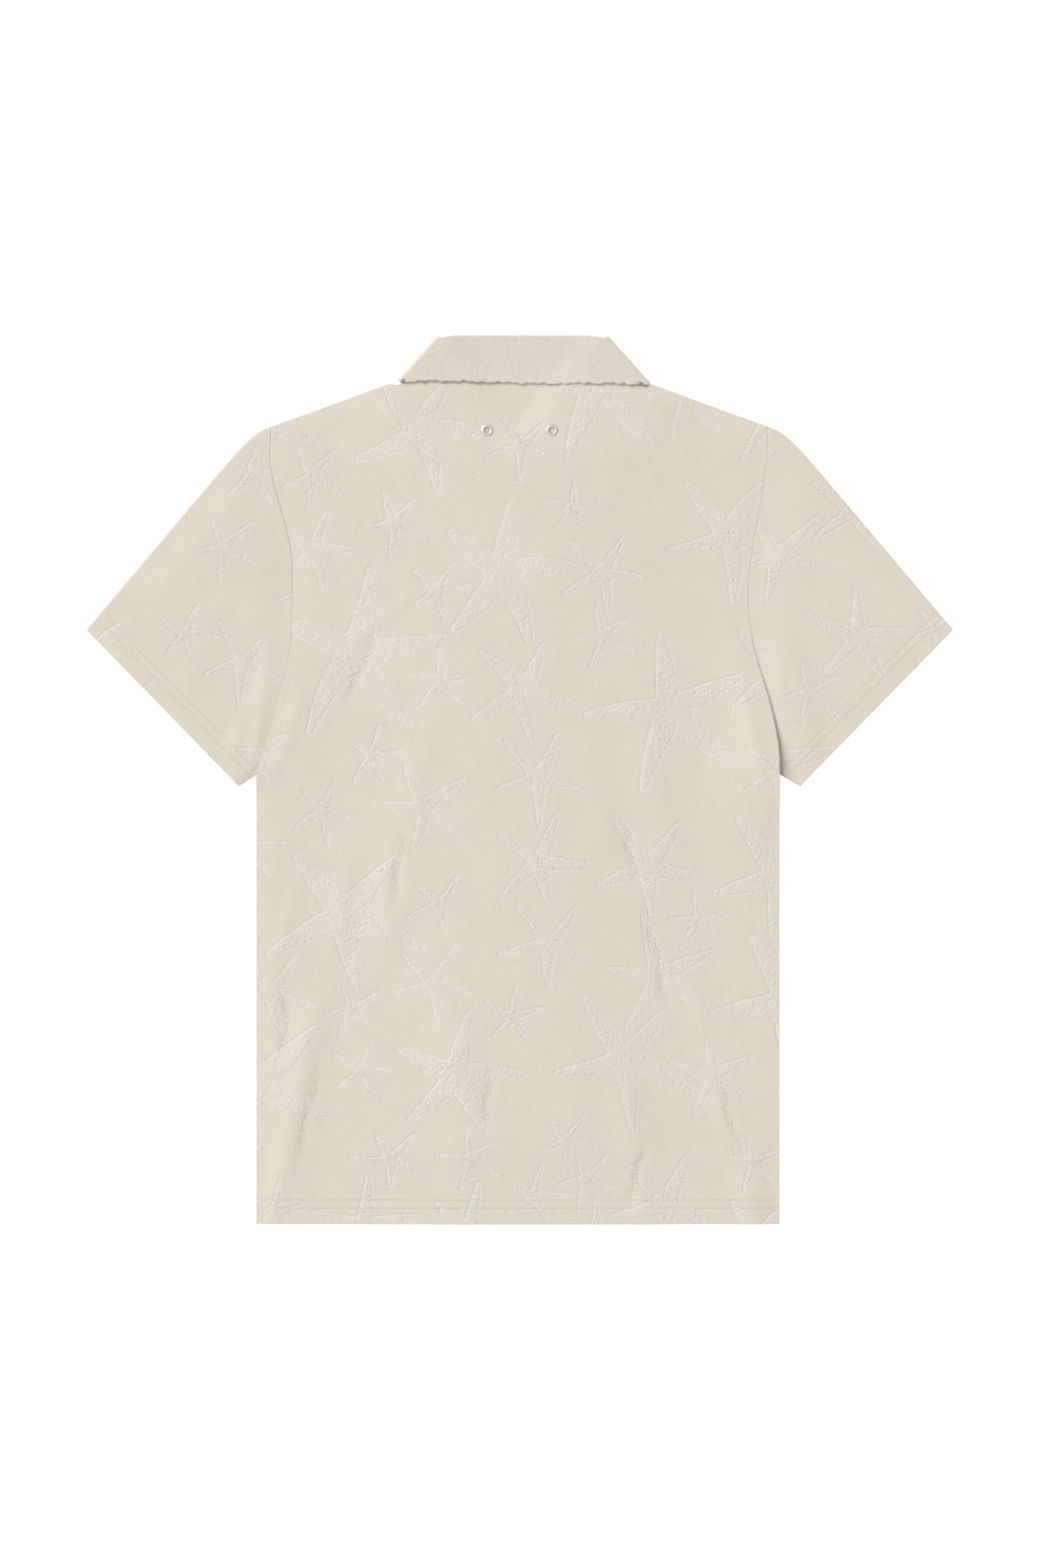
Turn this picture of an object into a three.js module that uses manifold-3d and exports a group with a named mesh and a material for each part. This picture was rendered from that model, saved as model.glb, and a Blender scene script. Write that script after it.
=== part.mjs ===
// A short-sleeved terry shirt with a turned-down collar, a buttoned front and two eyelets below the
// back neck. It lies flat on its front with its back up, as laid out on a table.
// Lengths are in millimetres. +X is the right-hand side as seen, +Y runs from hem to collar, +Z is up.
// Every garment height y below is counted from the hem; the whole shirt is centred at the end.
import * as THREE from "three";
import { mergeVertices } from "three/addons/utils/BufferGeometryUtils.js";
import Module from "manifold-3d";

// Cloth and how its layers lie on each other.
const CLOTH = 1.8;
const SEAM_GAP = 0.3;
const LAYER = CLOTH + SEAM_GAP;
const AIR_GAP = 1.0;
const AIR_REACH = 20;

// Body: half width at the side seam, and the points that set the armhole, the shoulder and the neck.
const HALF_CHEST = 232;
const ARMPIT = { x: HALF_CHEST, y: 400 };
const ARMHOLE_LOW = { x: 200, y: 500 };
const ARMHOLE_HIGH = { x: 196, y: 610 };
const SHOULDER = { x: 221, y: 709.3 };
const NECK = { x: 84, y: 758.9 };
const BACK_NECK_Y = 753;
const FRONT_NECK_Y = 674;

// Front edges: each front runs past the centre line by the button stand, and the right one laps over
// the left one, away from the floor.
const BUTTON_STAND = 15;
const BUTTON_COUNT = 6;
const BUTTON_TOP_Y = 662;
const BUTTON_BOTTOM_Y = 112;
const BUTTON_RADIUS = 5.75;
const BUTTON_THICK = 2.0;
const BUTTON_SEAT = BUTTON_THICK + SEAM_GAP;

// Sleeves: cuff corners, the round of the shoulder, and the fold at the underarm, where the sleeve's
// upper layer tucks under the back and the back rises over it.
const CUFF_TOP = { x: 384.8, y: 529.3 };
const CUFF_LOW = { x: 248, y: 389 };
const SHOULDER_ROUND = 9.3;
const SHOULDER_ROUND_SHARE = 0.055;
const SLEEVE_PUFF = 2.1;
const TUCK_DEPTH = 7;
const UNDERARM_RISE = { left: 2.4, right: 2.8 };

// Collar: one folded piece. The corners of its fold and its free edge, and the points at the front.
const COLLAR_TOP = { x: 74.4, y: 790.5 };
const LEAF_CORNER = { x: 111.6, y: 749.6 };
const LEAF_BACK_Y = 748;
const LEAF_POINT = { x: 58, y: 650 };
const FRONT_FOLD_Y = 704;
const COLLAR_END_X = 0.8;
const RING_DEPTH = 2 * LAYER - SEAM_GAP / 2;
const COLLAR_DIP = 4.2;
const LEAF_CURL = 0.9;
const NECK_SAG = 2.0;

// Eyelets in the back, below the neck.
const EYELET = { x: 28.7, y: 705.6 };
const EYELET_RADIUS = 5.2;
const EYELET_HOLE = 2.0;
const BARREL_RADIUS = 2.7;
const OUTER_FLANGE = 0.8;
const INNER_FLANGE = 0.5;

// Soft folds in the back: each is a ridge from a top point to a low point.
const FOLDS = [
  { x0: -75, y0: 452, x1: -124, y1: 236, rise: 1.6, half: 17 },
  { x0: -60, y0: 190, x1: -46, y1: -20, rise: 1.9, half: 20 },
  { x0: 42, y0: 214, x1: 50, y1: 96, rise: 1.2, half: 16 },
  { x0: 90, y0: 140, x1: 116, y1: -20, rise: 1.7, half: 15 },
  { x0: -176, y0: 212, x1: -214, y1: 24, rise: 1.9, half: 16 },
  { x0: 172, y0: 150, x1: 214, y1: -10, rise: 1.5, half: 15 },
  { x0: 104, y0: 488, x1: 131, y1: 300, rise: 1.4, half: 18 },
];

// How finely the panels are divided.
const NECK_STEPS = 8;
const BACK_SHOULDER_STEPS = 12;
const FRONT_SHOULDER_STEPS = 7;
const ARMHOLE_STEPS = 13;
const BACK_SIDE_ROWS = 20;
const FRONT_SIDE_ROWS = 11;
const SLEEVE_RINGS = 9;

const clothMaterial = new THREE.MeshStandardMaterial({ color: 0xddd5c6, roughness: 0.95 });
const collarMaterial = new THREE.MeshStandardMaterial({ color: 0xd9d1c4, roughness: 0.97 });
const buttonMaterial = new THREE.MeshStandardMaterial({ color: 0xe6e0d2, roughness: 0.35 });
const metalMaterial = new THREE.MeshStandardMaterial({ color: 0xcfcfcf, roughness: 0.25, metalness: 1 });

const clamp01 = (t) => Math.min(1, Math.max(0, t));
const lerp = (a, b, t) => a + (b - a) * t;
const mixPoints = (a, b, t) => ({ x: lerp(a.x, b.x, t), y: lerp(a.y, b.y, t) });
const shares = (steps) => Array.from({ length: steps + 1 }, (_, step) => step / steps);

// A smooth step from 0 at low to 1 at high.
function ease(low, high, value) {
  const t = clamp01((value - low) / (high - low));
  return t * t * (3 - 2 * t);
}

// The larger of two lifts, rounded where they are alike.
function softMax(a, b) {
  return (a ** 6 + b ** 6) ** (1 / 6);
}

// The unit vector from one plan point to another, with the length between them.
function heading(from, to) {
  const length = Math.hypot(to.x - from.x, to.y - from.y);
  return { x: (to.x - from.x) / length, y: (to.y - from.y) / length, length };
}

// A point of the armhole seam: a cubic curve from the armpit at t = 0 to the shoulder tip at t = 1.
function armholePoint(t) {
  const low = mixPoints(ARMPIT, ARMHOLE_LOW, t);
  const middle = mixPoints(ARMHOLE_LOW, ARMHOLE_HIGH, t);
  const high = mixPoints(ARMHOLE_HIGH, SHOULDER, t);
  return mixPoints(mixPoints(low, middle, t), mixPoints(middle, high, t), t);
}

// The half width of the body at height y, found on the armhole curve by halving.
function halfWidth(y) {
  if (y <= ARMPIT.y) return HALF_CHEST;
  let low = 0;
  let high = 1;
  for (let pass = 0; pass < 40; pass += 1) {
    const middle = (low + high) / 2;
    if (armholePoint(middle).y < y) low = middle;
    else high = middle;
  }
  return armholePoint(low).x;
}

// Top edge of a panel: a neckline parabola inside the neck point, and outside it the shoulder line,
// which dips where the collar rolls over it.
function topEdge(x, neckCentreY) {
  const away = Math.abs(x);
  if (away <= NECK.x) return lerp(neckCentreY, NECK.y, (away / NECK.x) ** 2);
  const dip = COLLAR_DIP * ease(NECK.x, 100, away) * (1 - ease(106, 119, away));
  return lerp(NECK.y, SHOULDER.y, (away - NECK.x) / (SHOULDER.x - NECK.x)) - dip;
}

// Half of the collar's outline in plan, filled in across the neck.
const COLLAR_OUTLINE = [
  { x: 0, y: FRONT_FOLD_Y },
  LEAF_POINT,
  LEAF_CORNER,
  COLLAR_TOP,
  { x: 0, y: COLLAR_TOP.y },
];

// Distance from a point to the collar's outline in plan, negative inside.
function collarDistance(x, y) {
  const px = Math.abs(x);
  let nearest = Infinity;
  let inside = false;
  COLLAR_OUTLINE.forEach((a, index) => {
    const b = COLLAR_OUTLINE[(index + 1) % COLLAR_OUTLINE.length];
    const ex = b.x - a.x;
    const ey = b.y - a.y;
    const t = clamp01(((px - a.x) * ex + (y - a.y) * ey) / (ex * ex + ey * ey));
    nearest = Math.min(nearest, Math.hypot(px - a.x - ex * t, y - a.y - ey * t));
    if (a.y > y !== b.y > y && px < a.x + ((y - a.y) / ey) * ex) inside = !inside;
  });
  return inside ? -nearest : nearest;
}

// The collar's leaf lies under the fronts and lifts them by one layer.
const collarLift = (x, y) => LAYER * (1 - ease(14, 64, collarDistance(x, y)));

// The buttons lie under the centre front and lift it.
const buttonLift = (x, y) =>
  BUTTON_SEAT * (1 - ease(9, 60, Math.abs(x))) * ease(30, 90, y) * (1 - ease(672, 704, y));

// The right front lies on the left one along the centre.
const overlapLift = (x, y) => LAYER * (1 - ease(16, 60, x)) * (1 - ease(676, 702, y));

// Underside height of the front layer; side is -1 for the left front and 1 for the right one.
function frontHeight(x, y, side) {
  const lift = softMax(collarLift(x, y), buttonLift(x, y));
  return side > 0 ? lift + overlapLift(x, y) : lift;
}

// In the open neck nothing lies below the back, so it sags.
function neckSag(x, y) {
  if (y <= FRONT_FOLD_Y) return 0;
  const neckHole = COLLAR_TOP.x * Math.sqrt((y - FRONT_FOLD_Y) / (COLLAR_TOP.y - FRONT_FOLD_Y));
  return NECK_SAG * ease(0, 35, neckHole - Math.abs(x));
}

// Height of one soft fold: a bell across its line, fading at both ends.
function foldRise(fold, x, y) {
  const line = heading({ x: fold.x0, y: fold.y0 }, { x: fold.x1, y: fold.y1 });
  const along = ((x - fold.x0) * line.x + (y - fold.y0) * line.y) / line.length;
  const across = (x - fold.x0) * line.y - (y - fold.y0) * line.x;
  const ends = ease(-0.15, 0.25, along) * (1 - ease(0.8, 1.15, along));
  return fold.rise * ends * Math.exp(-((across / fold.half) ** 2));
}

// How far the back rises over the tucked sleeve, and how far the sleeve is tucked, by height.
const riseShare = (y) => ease(ARMPIT.y - 30, ARMPIT.y, y) * (1 - ease(515, 560, y));
const tuckShare = (y) => ease(ARMPIT.y, ARMPIT.y + 25, y) * (1 - ease(470, 515, y));

// Underside height of the back.
function backHeight(x, y) {
  const away = Math.abs(x);
  const edge = Math.min(halfWidth(y) - away, topEdge(x, BACK_NECK_Y) - y);
  const air = lerp(SEAM_GAP, AIR_GAP, ease(0, AIR_REACH, edge));
  const centre = (1 - ease(34, 90, away)) * (1 - ease(676, 722, y));
  const lift = softMax(collarLift(x, y), BUTTON_SEAT * centre * ease(20, 80, y)) + LAYER * centre;
  const rise = x > 0 ? UNDERARM_RISE.right : UNDERARM_RISE.left;
  const underarm = rise * riseShare(y) * (1 - ease(11, 42, edge));
  const calm = ease(2, 24, edge) * (1 - 0.6 * centre);
  const folds = FOLDS.reduce((sum, fold) => sum + foldRise(fold, x, y), 0) * calm;
  return CLOTH + air + lift + underarm + folds - neckSag(x, y);
}

// A closed surface whose faces point out, whichever way they were listed.
function closedGeometry(positions, faces) {
  const vertex = (index) => new THREE.Vector3().fromArray(positions, 3 * index);
  let volume = 0;
  for (let f = 0; f < faces.length; f += 3) {
    volume += vertex(faces[f]).dot(vertex(faces[f + 1]).cross(vertex(faces[f + 2])));
  }
  const geometry = new THREE.BufferGeometry();
  geometry.setAttribute("position", new THREE.Float32BufferAttribute(positions, 3));
  geometry.setIndex(volume < 0 ? faces.slice().reverse() : faces);
  geometry.computeVertexNormals();
  return geometry;
}

// A closed wall between two grids of points with the same rows and columns. Where around is true, each
// row closes on itself and the wall is a tube.
function wallGeometry(outer, inner, around = false) {
  const rows = outer.length;
  const columns = outer[0].length;
  const spans = around ? columns : columns - 1;
  const last = rows - 1;
  const at = (skin, row, column) => (skin * rows + row) * columns + (column % columns);
  const faces = [];
  const quad = (a, b, c, d) => faces.push(a, b, c, a, c, d);
  for (let k = 0; k < spans; k += 1) {
    for (let i = 0; i < last; i += 1) {
      quad(at(0, i, k), at(0, i, k + 1), at(0, i + 1, k + 1), at(0, i + 1, k));
      quad(at(1, i, k), at(1, i + 1, k), at(1, i + 1, k + 1), at(1, i, k + 1));
    }
    quad(at(0, 0, k), at(1, 0, k), at(1, 0, k + 1), at(0, 0, k + 1));
    quad(at(0, last, k), at(0, last, k + 1), at(1, last, k + 1), at(1, last, k));
  }
  if (!around) {
    for (let i = 0; i < last; i += 1) {
      quad(at(0, i, 0), at(0, i + 1, 0), at(1, i + 1, 0), at(1, i, 0));
      quad(at(0, i, spans), at(1, i, spans), at(1, i + 1, spans), at(0, i + 1, spans));
    }
  }
  return closedGeometry([...outer.flat(2), ...inner.flat(2)], faces);
}

// Row heights as a share of the shoulder height: even rows up to the armpit, then the armhole points.
function rowShares(sideRows) {
  const side = shares(sideRows).slice(0, -1).map((share) => share * ARMPIT.y);
  const armhole = shares(ARMHOLE_STEPS).map((share) => armholePoint(share).y);
  return [...side, ...armhole].map((y) => y / SHOULDER.y);
}

// Column places at the top edge, from the centre to the shoulder tip.
function columnPlaces(shoulderSteps) {
  const neck = shares(NECK_STEPS).map((share) => share * NECK.x);
  const shoulder = shares(shoulderSteps).slice(1).map((share) => lerp(NECK.x, SHOULDER.x, share));
  return [...neck, ...shoulder];
}

// The back: rows run from the hem to the neck, columns from one side seam to the other.
function backGeometry() {
  const half = columnPlaces(BACK_SHOULDER_STEPS);
  const places = [...half.slice(1).reverse().map((x) => -x), ...half];
  const skin = (lift) =>
    rowShares(BACK_SIDE_ROWS).map((share) =>
      places.map((place) => {
        const x = (place / SHOULDER.x) * halfWidth(share * SHOULDER.y);
        const y = share * topEdge(place, BACK_NECK_Y);
        return [x, y, backHeight(x, y) + lift];
      }),
    );
  return wallGeometry(skin(CLOTH), skin(0));
}

// One front, from its button-stand edge to its side seam; side is -1 for the left, 1 for the right.
function frontGeometry(side) {
  const start = -BUTTON_STAND;
  const places = [start, ...columnPlaces(FRONT_SHOULDER_STEPS)];
  const skin = (lift) =>
    rowShares(FRONT_SIDE_ROWS).map((share) =>
      places.map((place) => {
        const reach = halfWidth(share * SHOULDER.y);
        const x = lerp(start, reach, (place - start) / (SHOULDER.x - start)) * side;
        const y = share * topEdge(place, FRONT_NECK_Y);
        return [x, y, frontHeight(x, y, side) + lift];
      }),
    );
  return wallGeometry(skin(CLOTH), skin(0));
}

// A plan point of the right sleeve: u runs from the underarm to the shoulder, v from armhole to cuff.
function sleevePoint(u, v) {
  const root = armholePoint(u);
  const cuff = mixPoints(CUFF_LOW, CUFF_TOP, u);
  const run = heading(root, cuff);
  const seamShare = (2 * SEAM_GAP) / run.length;
  const bulge = SHOULDER_ROUND * u * u * (1 - v) * (1 - Math.exp(-v / SHOULDER_ROUND_SHARE));
  const point = mixPoints(root, cuff, Math.max(v, seamShare));
  return { x: point.x - run.y * bulge, y: point.y + run.x * bulge, rootY: root.y };
}

// One ring of points round the sleeve at v, lying wall deep inside its outer skin.
function sleeveRing(v, wall, side) {
  const round = (CLOTH + LAYER) / 2;
  const rise = side > 0 ? UNDERARM_RISE.right : UNDERARM_RISE.left;
  const across = heading(sleevePoint(0, v), sleevePoint(1, v));
  const points = [];
  const put = (u, inset, tuck, z) => {
    const { x, y } = sleevePoint(u, v);
    points.push([(x + across.x * inset - tuck) * side, y + across.y * inset, z]);
  };
  const endInset = (u) => (u === 0 ? round : u === 1 ? -round : 0);
  const puff = (u) =>
    SLEEVE_PUFF * ease(0, 0.16, u) * (1 - ease(0.86, 1, u)) * ease(0, 0.28, v) * (1 - 0.6 * v);
  const turnEnd = (u, out, angles) => {
    for (const angle of angles) {
      const reach = (round - wall) * Math.sin(angle);
      put(u, endInset(u) + out * reach, 0, round + (round - wall) * Math.cos(angle));
    }
  };
  const angles = [1, 2, 3].map((step) => (step * Math.PI) / 4);
  for (const u of shares(ARMHOLE_STEPS)) {
    const tuck = (TUCK_DEPTH / UNDERARM_RISE.right) * rise * tuckShare(armholePoint(u).y) * (1 - v) ** 8;
    put(u, endInset(u), tuck, 2 * round - wall + puff(u));
  }
  turnEnd(1, 1, angles);
  for (const u of shares(ARMHOLE_STEPS).reverse()) put(u, endInset(u), 0, wall);
  turnEnd(0, -1, angles.slice().reverse());
  return points;
}

// One sleeve: a flattened tube, open at the armhole and the cuff; its rings lie closer at the armhole.
function sleeveGeometry(side) {
  const rings = (wall) => shares(SLEEVE_RINGS).map((share) => sleeveRing(share ** 1.4, wall, side));
  return wallGeometry(rings(0), rings(CLOTH), true);
}

// The side corners of the collar's fold and leaf, drawn in by the depth the ring takes as it turns.
const sideRun = heading(COLLAR_TOP, LEAF_CORNER);
const drawnIn = ({ x, y }) => ({ x: x + sideRun.y * RING_DEPTH, y: y - sideRun.x * RING_DEPTH });
const FOLD_SIDE = drawnIn(COLLAR_TOP);
const LEAF_SIDE = drawnIn(LEAF_CORNER);

// Plan points of the collar's back part: the fold, the neck seam and the free edge of the leaf. share
// runs from 0 at the centre to 1 at the side of the neck.
function collarBack(share) {
  return {
    fold: { x: FOLD_SIDE.x * share, y: lerp(COLLAR_TOP.y, FOLD_SIDE.y, share ** 8) },
    seam: { x: NECK.x * share, y: topEdge(NECK.x * share, BACK_NECK_Y) },
    leaf: { x: LEAF_SIDE.x * share, y: lerp(LEAF_BACK_Y, LEAF_SIDE.y, share ** 6) },
  };
}

// The same for the front part, whose leaf edge runs from the collar point to the side.
function collarFront(share) {
  const clearOfCentre = (x) => Math.max(x, COLLAR_END_X);
  return {
    fold: { x: clearOfCentre(FOLD_SIDE.x * share), y: lerp(FRONT_FOLD_Y, FOLD_SIDE.y, share ** 2) },
    seam: { x: clearOfCentre(NECK.x * share), y: topEdge(NECK.x * share, FRONT_NECK_Y) },
    leaf: mixPoints(LEAF_POINT, LEAF_SIDE, share),
  };
}

// The stations round the neck, from the left end at the centre front over the back to the right end.
// turn runs from 0 on the back to 1 on the front.
function collarStations() {
  const back = collarBack(1);
  const front = collarFront(1);
  const turned = (turn) => ({
    turn,
    fold: mixPoints(back.fold, front.fold, turn),
    seam: mixPoints(back.seam, front.seam, turn),
    leaf: mixPoints(back.leaf, front.leaf, turn),
  });
  const right = [
    ...shares(NECK_STEPS).map((share) => ({ turn: 0, ...collarBack(share) })),
    ...[0.2, 0.4, 0.6, 0.8].map(turned),
    ...shares(NECK_STEPS).reverse().map((share) => ({ turn: 1, ...collarFront(share) })),
  ].map((station) => ({ ...station, side: 1 }));
  const left = right.slice(1).map((station) => ({ ...station, side: -1 }));
  return [...left.reverse(), ...right];
}

// The collar's section is a hairpin: up the stand, over the fold and down the leaf. Each spot holds its
// share of the leg's length, how far it has turned from stand to leaf, and, for the outer and inner
// skin, its distance from the fold and its depth from the ring's middle plane.
function collarSection() {
  const foldDepth = LAYER;
  const outerBend = LAYER - SEAM_GAP / 2;
  const innerBend = SEAM_GAP / 2;
  const spot = (share, mix, angle) => {
    const reach = (bend) => outerBend - bend * Math.cos(angle);
    const depth = (bend) => foldDepth + bend * Math.sin(angle);
    const skin = (bend) => ({ along: reach(bend), depth: depth(bend) });
    return { share, mix, outer: skin(outerBend), inner: skin(innerBend) };
  };
  const quarter = Math.PI / 4;
  return [
    ...[1, 0.5].map((share) => spot(share, 0, -2 * quarter)),
    ...[-2, -1, 0, 1, 2].map((step) => spot(0, (step + 2) / 4, step * quarter)),
    ...[0.35, 0.7, 1].map((share) => spot(share, 1, 2 * quarter)),
  ];
}

// One point of the collar at a station and a spot of its section, on the named skin.
function collarPoint(station, spot, skinName) {
  const { fold, seam, leaf, turn, side } = station;
  const { along, depth } = spot[skinName];
  const stand = heading(fold, seam);
  const drop = heading(fold, leaf);
  const down = mixPoints(stand, drop, spot.mix);
  const onStand = spot.mix < 0.5;
  const reach = onStand ? stand.length - 1.3 * SEAM_GAP : drop.length;
  const distance = spot.share > 0 ? lerp(along, reach, spot.share) : along;
  const sway = depth * Math.sin(Math.PI * turn);
  const x = fold.x + down.x * distance - down.y * sway;
  const y = fold.y + down.y * distance + down.x * sway;
  let z = RING_DEPTH + depth * Math.cos(Math.PI * turn);
  if (turn === 0) z -= neckSag(x, y);
  if (turn === 0 && !onStand) z += LEAF_CURL * spot.share ** 4;
  if (turn === 1 && onStand) z += frontHeight(x * side, y, side) - LAYER;
  return [x * side, y, z];
}

function collarGeometry() {
  const section = collarSection();
  const skin = (name) =>
    collarStations().map((station) => section.map((spot) => collarPoint(station, spot, name)));
  return wallGeometry(skin("outer"), skin("inner"));
}

// A turned solid about +Z. The profile lists radius and height, and closes on itself or on the axis.
function latheGeometry(profile, segments) {
  const lathe = new THREE.LatheGeometry(profile.map(([radius, z]) => new THREE.Vector2(radius, z)), segments);
  lathe.rotateX(Math.PI / 2);
  const merged = mergedGeometry(lathe);
  const faces = Array.from(merged.index.array);
  const kept = [];
  for (let f = 0; f < faces.length; f += 3) {
    const [a, b, c] = faces.slice(f, f + 3);
    if (a !== b && b !== c && c !== a) kept.push(a, b, c);
  }
  return closedGeometry(Array.from(merged.getAttribute("position").array), kept);
}

// A copy with positions only, where corners in the same place are one.
function mergedGeometry(geometry) {
  const plain = geometry.clone();
  plain.deleteAttribute("normal");
  plain.deleteAttribute("uv");
  return mergeVertices(plain, 1e-4);
}

// A sew-through button lying face down: a rim round a shallow dish.
function buttonGeometry() {
  const profile = [
    [0, 0.6],
    [3.4, 0.6],
    [4.2, 0],
    [5.2, 0],
    [BUTTON_RADIUS, 0.7],
    [5.1, 1.7],
    [3.4, BUTTON_THICK],
    [0, BUTTON_THICK],
  ];
  return latheGeometry(profile, 14);
}

// An eyelet about the cloth's upper face: a rounded flange above, a barrel through the cloth and a
// smaller flange below.
function eyeletGeometry() {
  const above = SEAM_GAP;
  const below = -CLOTH - SEAM_GAP;
  const profile = [
    [EYELET_HOLE, below],
    [EYELET_HOLE, above + 0.3],
    [EYELET_HOLE + 0.6, above + OUTER_FLANGE],
    [EYELET_RADIUS - 1, above + OUTER_FLANGE],
    [EYELET_RADIUS, above + 0.2],
    [EYELET_RADIUS - 0.1, above],
    [BARREL_RADIUS, above],
    [BARREL_RADIUS, below],
    [EYELET_RADIUS - 0.6, below],
    [EYELET_RADIUS - 1, below - INNER_FLANGE],
    [BARREL_RADIUS, below - INNER_FLANGE],
    [EYELET_HOLE, below],
  ];
  return latheGeometry(profile, 16);
}

const wasm = await Module();
wasm.setup();

function toManifold(geometry) {
  const plain = mergedGeometry(geometry);
  const vertProperties = new Float32Array(plain.getAttribute("position").array);
  const triVerts = new Uint32Array(plain.index.array);
  return new wasm.Manifold(new wasm.Mesh({ numProp: 3, vertProperties, triVerts }));
}

function fromManifold(solid) {
  const { vertProperties, triVerts } = solid.getMesh();
  return closedGeometry(Array.from(vertProperties), Array.from(triVerts));
}

// Where an eyelet sits on the back: its place, and the turn that lays it along the sloping cloth.
function eyeletSeat(side) {
  const x = side * EYELET.x;
  const slope = (dx, dy) =>
    (backHeight(x + dx, EYELET.y + dy) - backHeight(x - dx, EYELET.y - dy)) / (2 * EYELET_RADIUS);
  const normal = new THREE.Vector3(-slope(EYELET_RADIUS, 0), -slope(0, EYELET_RADIUS), 1).normalize();
  const turn = new THREE.Quaternion().setFromUnitVectors(new THREE.Vector3(0, 0, 1), normal);
  return { place: new THREE.Vector3(x, EYELET.y, backHeight(x, EYELET.y) + CLOTH), turn };
}

// The back with a round hole punched for each eyelet.
function punchedBackGeometry() {
  let cloth = toManifold(backGeometry());
  for (const side of [-1, 1]) {
    const seat = eyeletSeat(side);
    const radius = BARREL_RADIUS + SEAM_GAP;
    const punch = new THREE.CylinderGeometry(radius, radius, 6 * CLOTH, 16);
    punch.rotateX(Math.PI / 2);
    punch.applyQuaternion(seat.turn);
    punch.translate(seat.place.x, seat.place.y, seat.place.z);
    cloth = cloth.subtract(toManifold(punch));
  }
  return fromManifold(cloth);
}

const shirt = new THREE.Group();
shirt.position.y = -COLLAR_TOP.y / 2;

function addPiece(name, geometry, material) {
  const mesh = new THREE.Mesh(geometry, material);
  mesh.name = name;
  shirt.add(mesh);
  return mesh;
}

addPiece("back", punchedBackGeometry(), clothMaterial);
addPiece("front_left", frontGeometry(-1), clothMaterial);
addPiece("front_right", frontGeometry(1), clothMaterial);
addPiece("sleeve_left", sleeveGeometry(-1), clothMaterial);
addPiece("sleeve_right", sleeveGeometry(1), clothMaterial);
addPiece("collar", collarGeometry(), collarMaterial);

shares(BUTTON_COUNT - 1).forEach((share, index) => {
  const button = addPiece(`button_${index + 1}`, buttonGeometry(), buttonMaterial);
  button.position.y = lerp(BUTTON_TOP_Y, BUTTON_BOTTOM_Y, share);
});

for (const side of [-1, 1]) {
  const seat = eyeletSeat(side);
  const eyelet = addPiece(side < 0 ? "eyelet_left" : "eyelet_right", eyeletGeometry(), metalMaterial);
  eyelet.position.copy(seat.place);
  eyelet.quaternion.copy(seat.turn);
}

export default shirt;
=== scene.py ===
"""The looks of a short-sleeved terry shirt that lies flat on its front, seen from straight above.

Lengths are in millimetres until a mesh is made. Garment heights y count from the hem, and each mesh is
moved by half the shirt's length, so that the shirt's middle is at the frame's origin.
"""
import math

import bpy
import numpy as np
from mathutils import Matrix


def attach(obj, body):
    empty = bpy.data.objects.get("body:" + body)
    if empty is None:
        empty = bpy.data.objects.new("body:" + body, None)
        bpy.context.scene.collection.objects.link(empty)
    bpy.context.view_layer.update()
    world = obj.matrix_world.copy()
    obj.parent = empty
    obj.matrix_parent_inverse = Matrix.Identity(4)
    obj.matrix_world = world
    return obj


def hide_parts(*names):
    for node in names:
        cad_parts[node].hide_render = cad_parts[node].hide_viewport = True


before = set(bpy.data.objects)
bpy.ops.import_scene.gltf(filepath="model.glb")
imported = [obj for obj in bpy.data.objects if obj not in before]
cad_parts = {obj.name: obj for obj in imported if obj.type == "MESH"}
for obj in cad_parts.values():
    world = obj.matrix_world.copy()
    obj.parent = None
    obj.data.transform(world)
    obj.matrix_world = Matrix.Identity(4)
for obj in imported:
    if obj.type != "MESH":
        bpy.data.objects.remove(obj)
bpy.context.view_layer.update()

MM = 0.001
MIDDLE_Y = 395.25

# Cloth and how its layers lie on each other.
CLOTH = 1.8
SEAM_GAP = 0.3
LAYER = CLOTH + SEAM_GAP
AIR_GAP = 1.0
AIR_REACH = 20.0

# Body, armhole, shoulder and neck.
ARMPIT_Y = 400.0
SHOULDER_X, SHOULDER_Y = 221.0, 709.3
# Half widths of the body at some heights along each armhole, from the armpit to the shoulder: y, x.
ARMHOLES = {
    -1: ((400, 234.3), (425, 226), (472, 213.5), (500, 206), (520, 203), (555, 202), (585, 201.5),
         (602, 203.4), (621, 207.7), (640, 213), (661, 219), (680, 222), (709.3, 221)),
    1: ((400, 231.4), (412, 231.2), (425, 230.5), (435, 228.8), (453, 225.3), (472, 220.5), (490, 214.8),
        (509, 209.3), (528, 205.5), (543, 203.8), (565, 203.5), (584, 204.6), (612, 209), (649, 216),
        (680, 220), (709.3, 221)),
}
NECK_X, NECK_Y = 84.0, 758.9
BACK_NECK_Y = 753.0
FRONT_NECK_Y = 674.0
BUTTON_STAND = 15.0
BUTTON_SEAT = 2.3
COLLAR_DIP = 4.2

# Sleeves.
CUFF_LOW = np.array([249.6, 389.0])
CUFF_TOP = np.array([385.8, 528.6])
SHOULDER_ROUND, BULGE_RUN = 9.3, 0.055
ARMHOLE_RUN, CUFF_WIDTH = 315.0, 196.0
SLEEVE_HALF = (CLOTH + LAYER) / 2
SLEEVE_PUFF = 2.1
SLEEVE_GAP = 0.08
TUCK_DEPTH = 7.0
LEFT_RISE, RIGHT_RISE = 1.2, 4.7
RIDGE_RISE = 0.9
RECESS_WIDTH = 21.0

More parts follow.
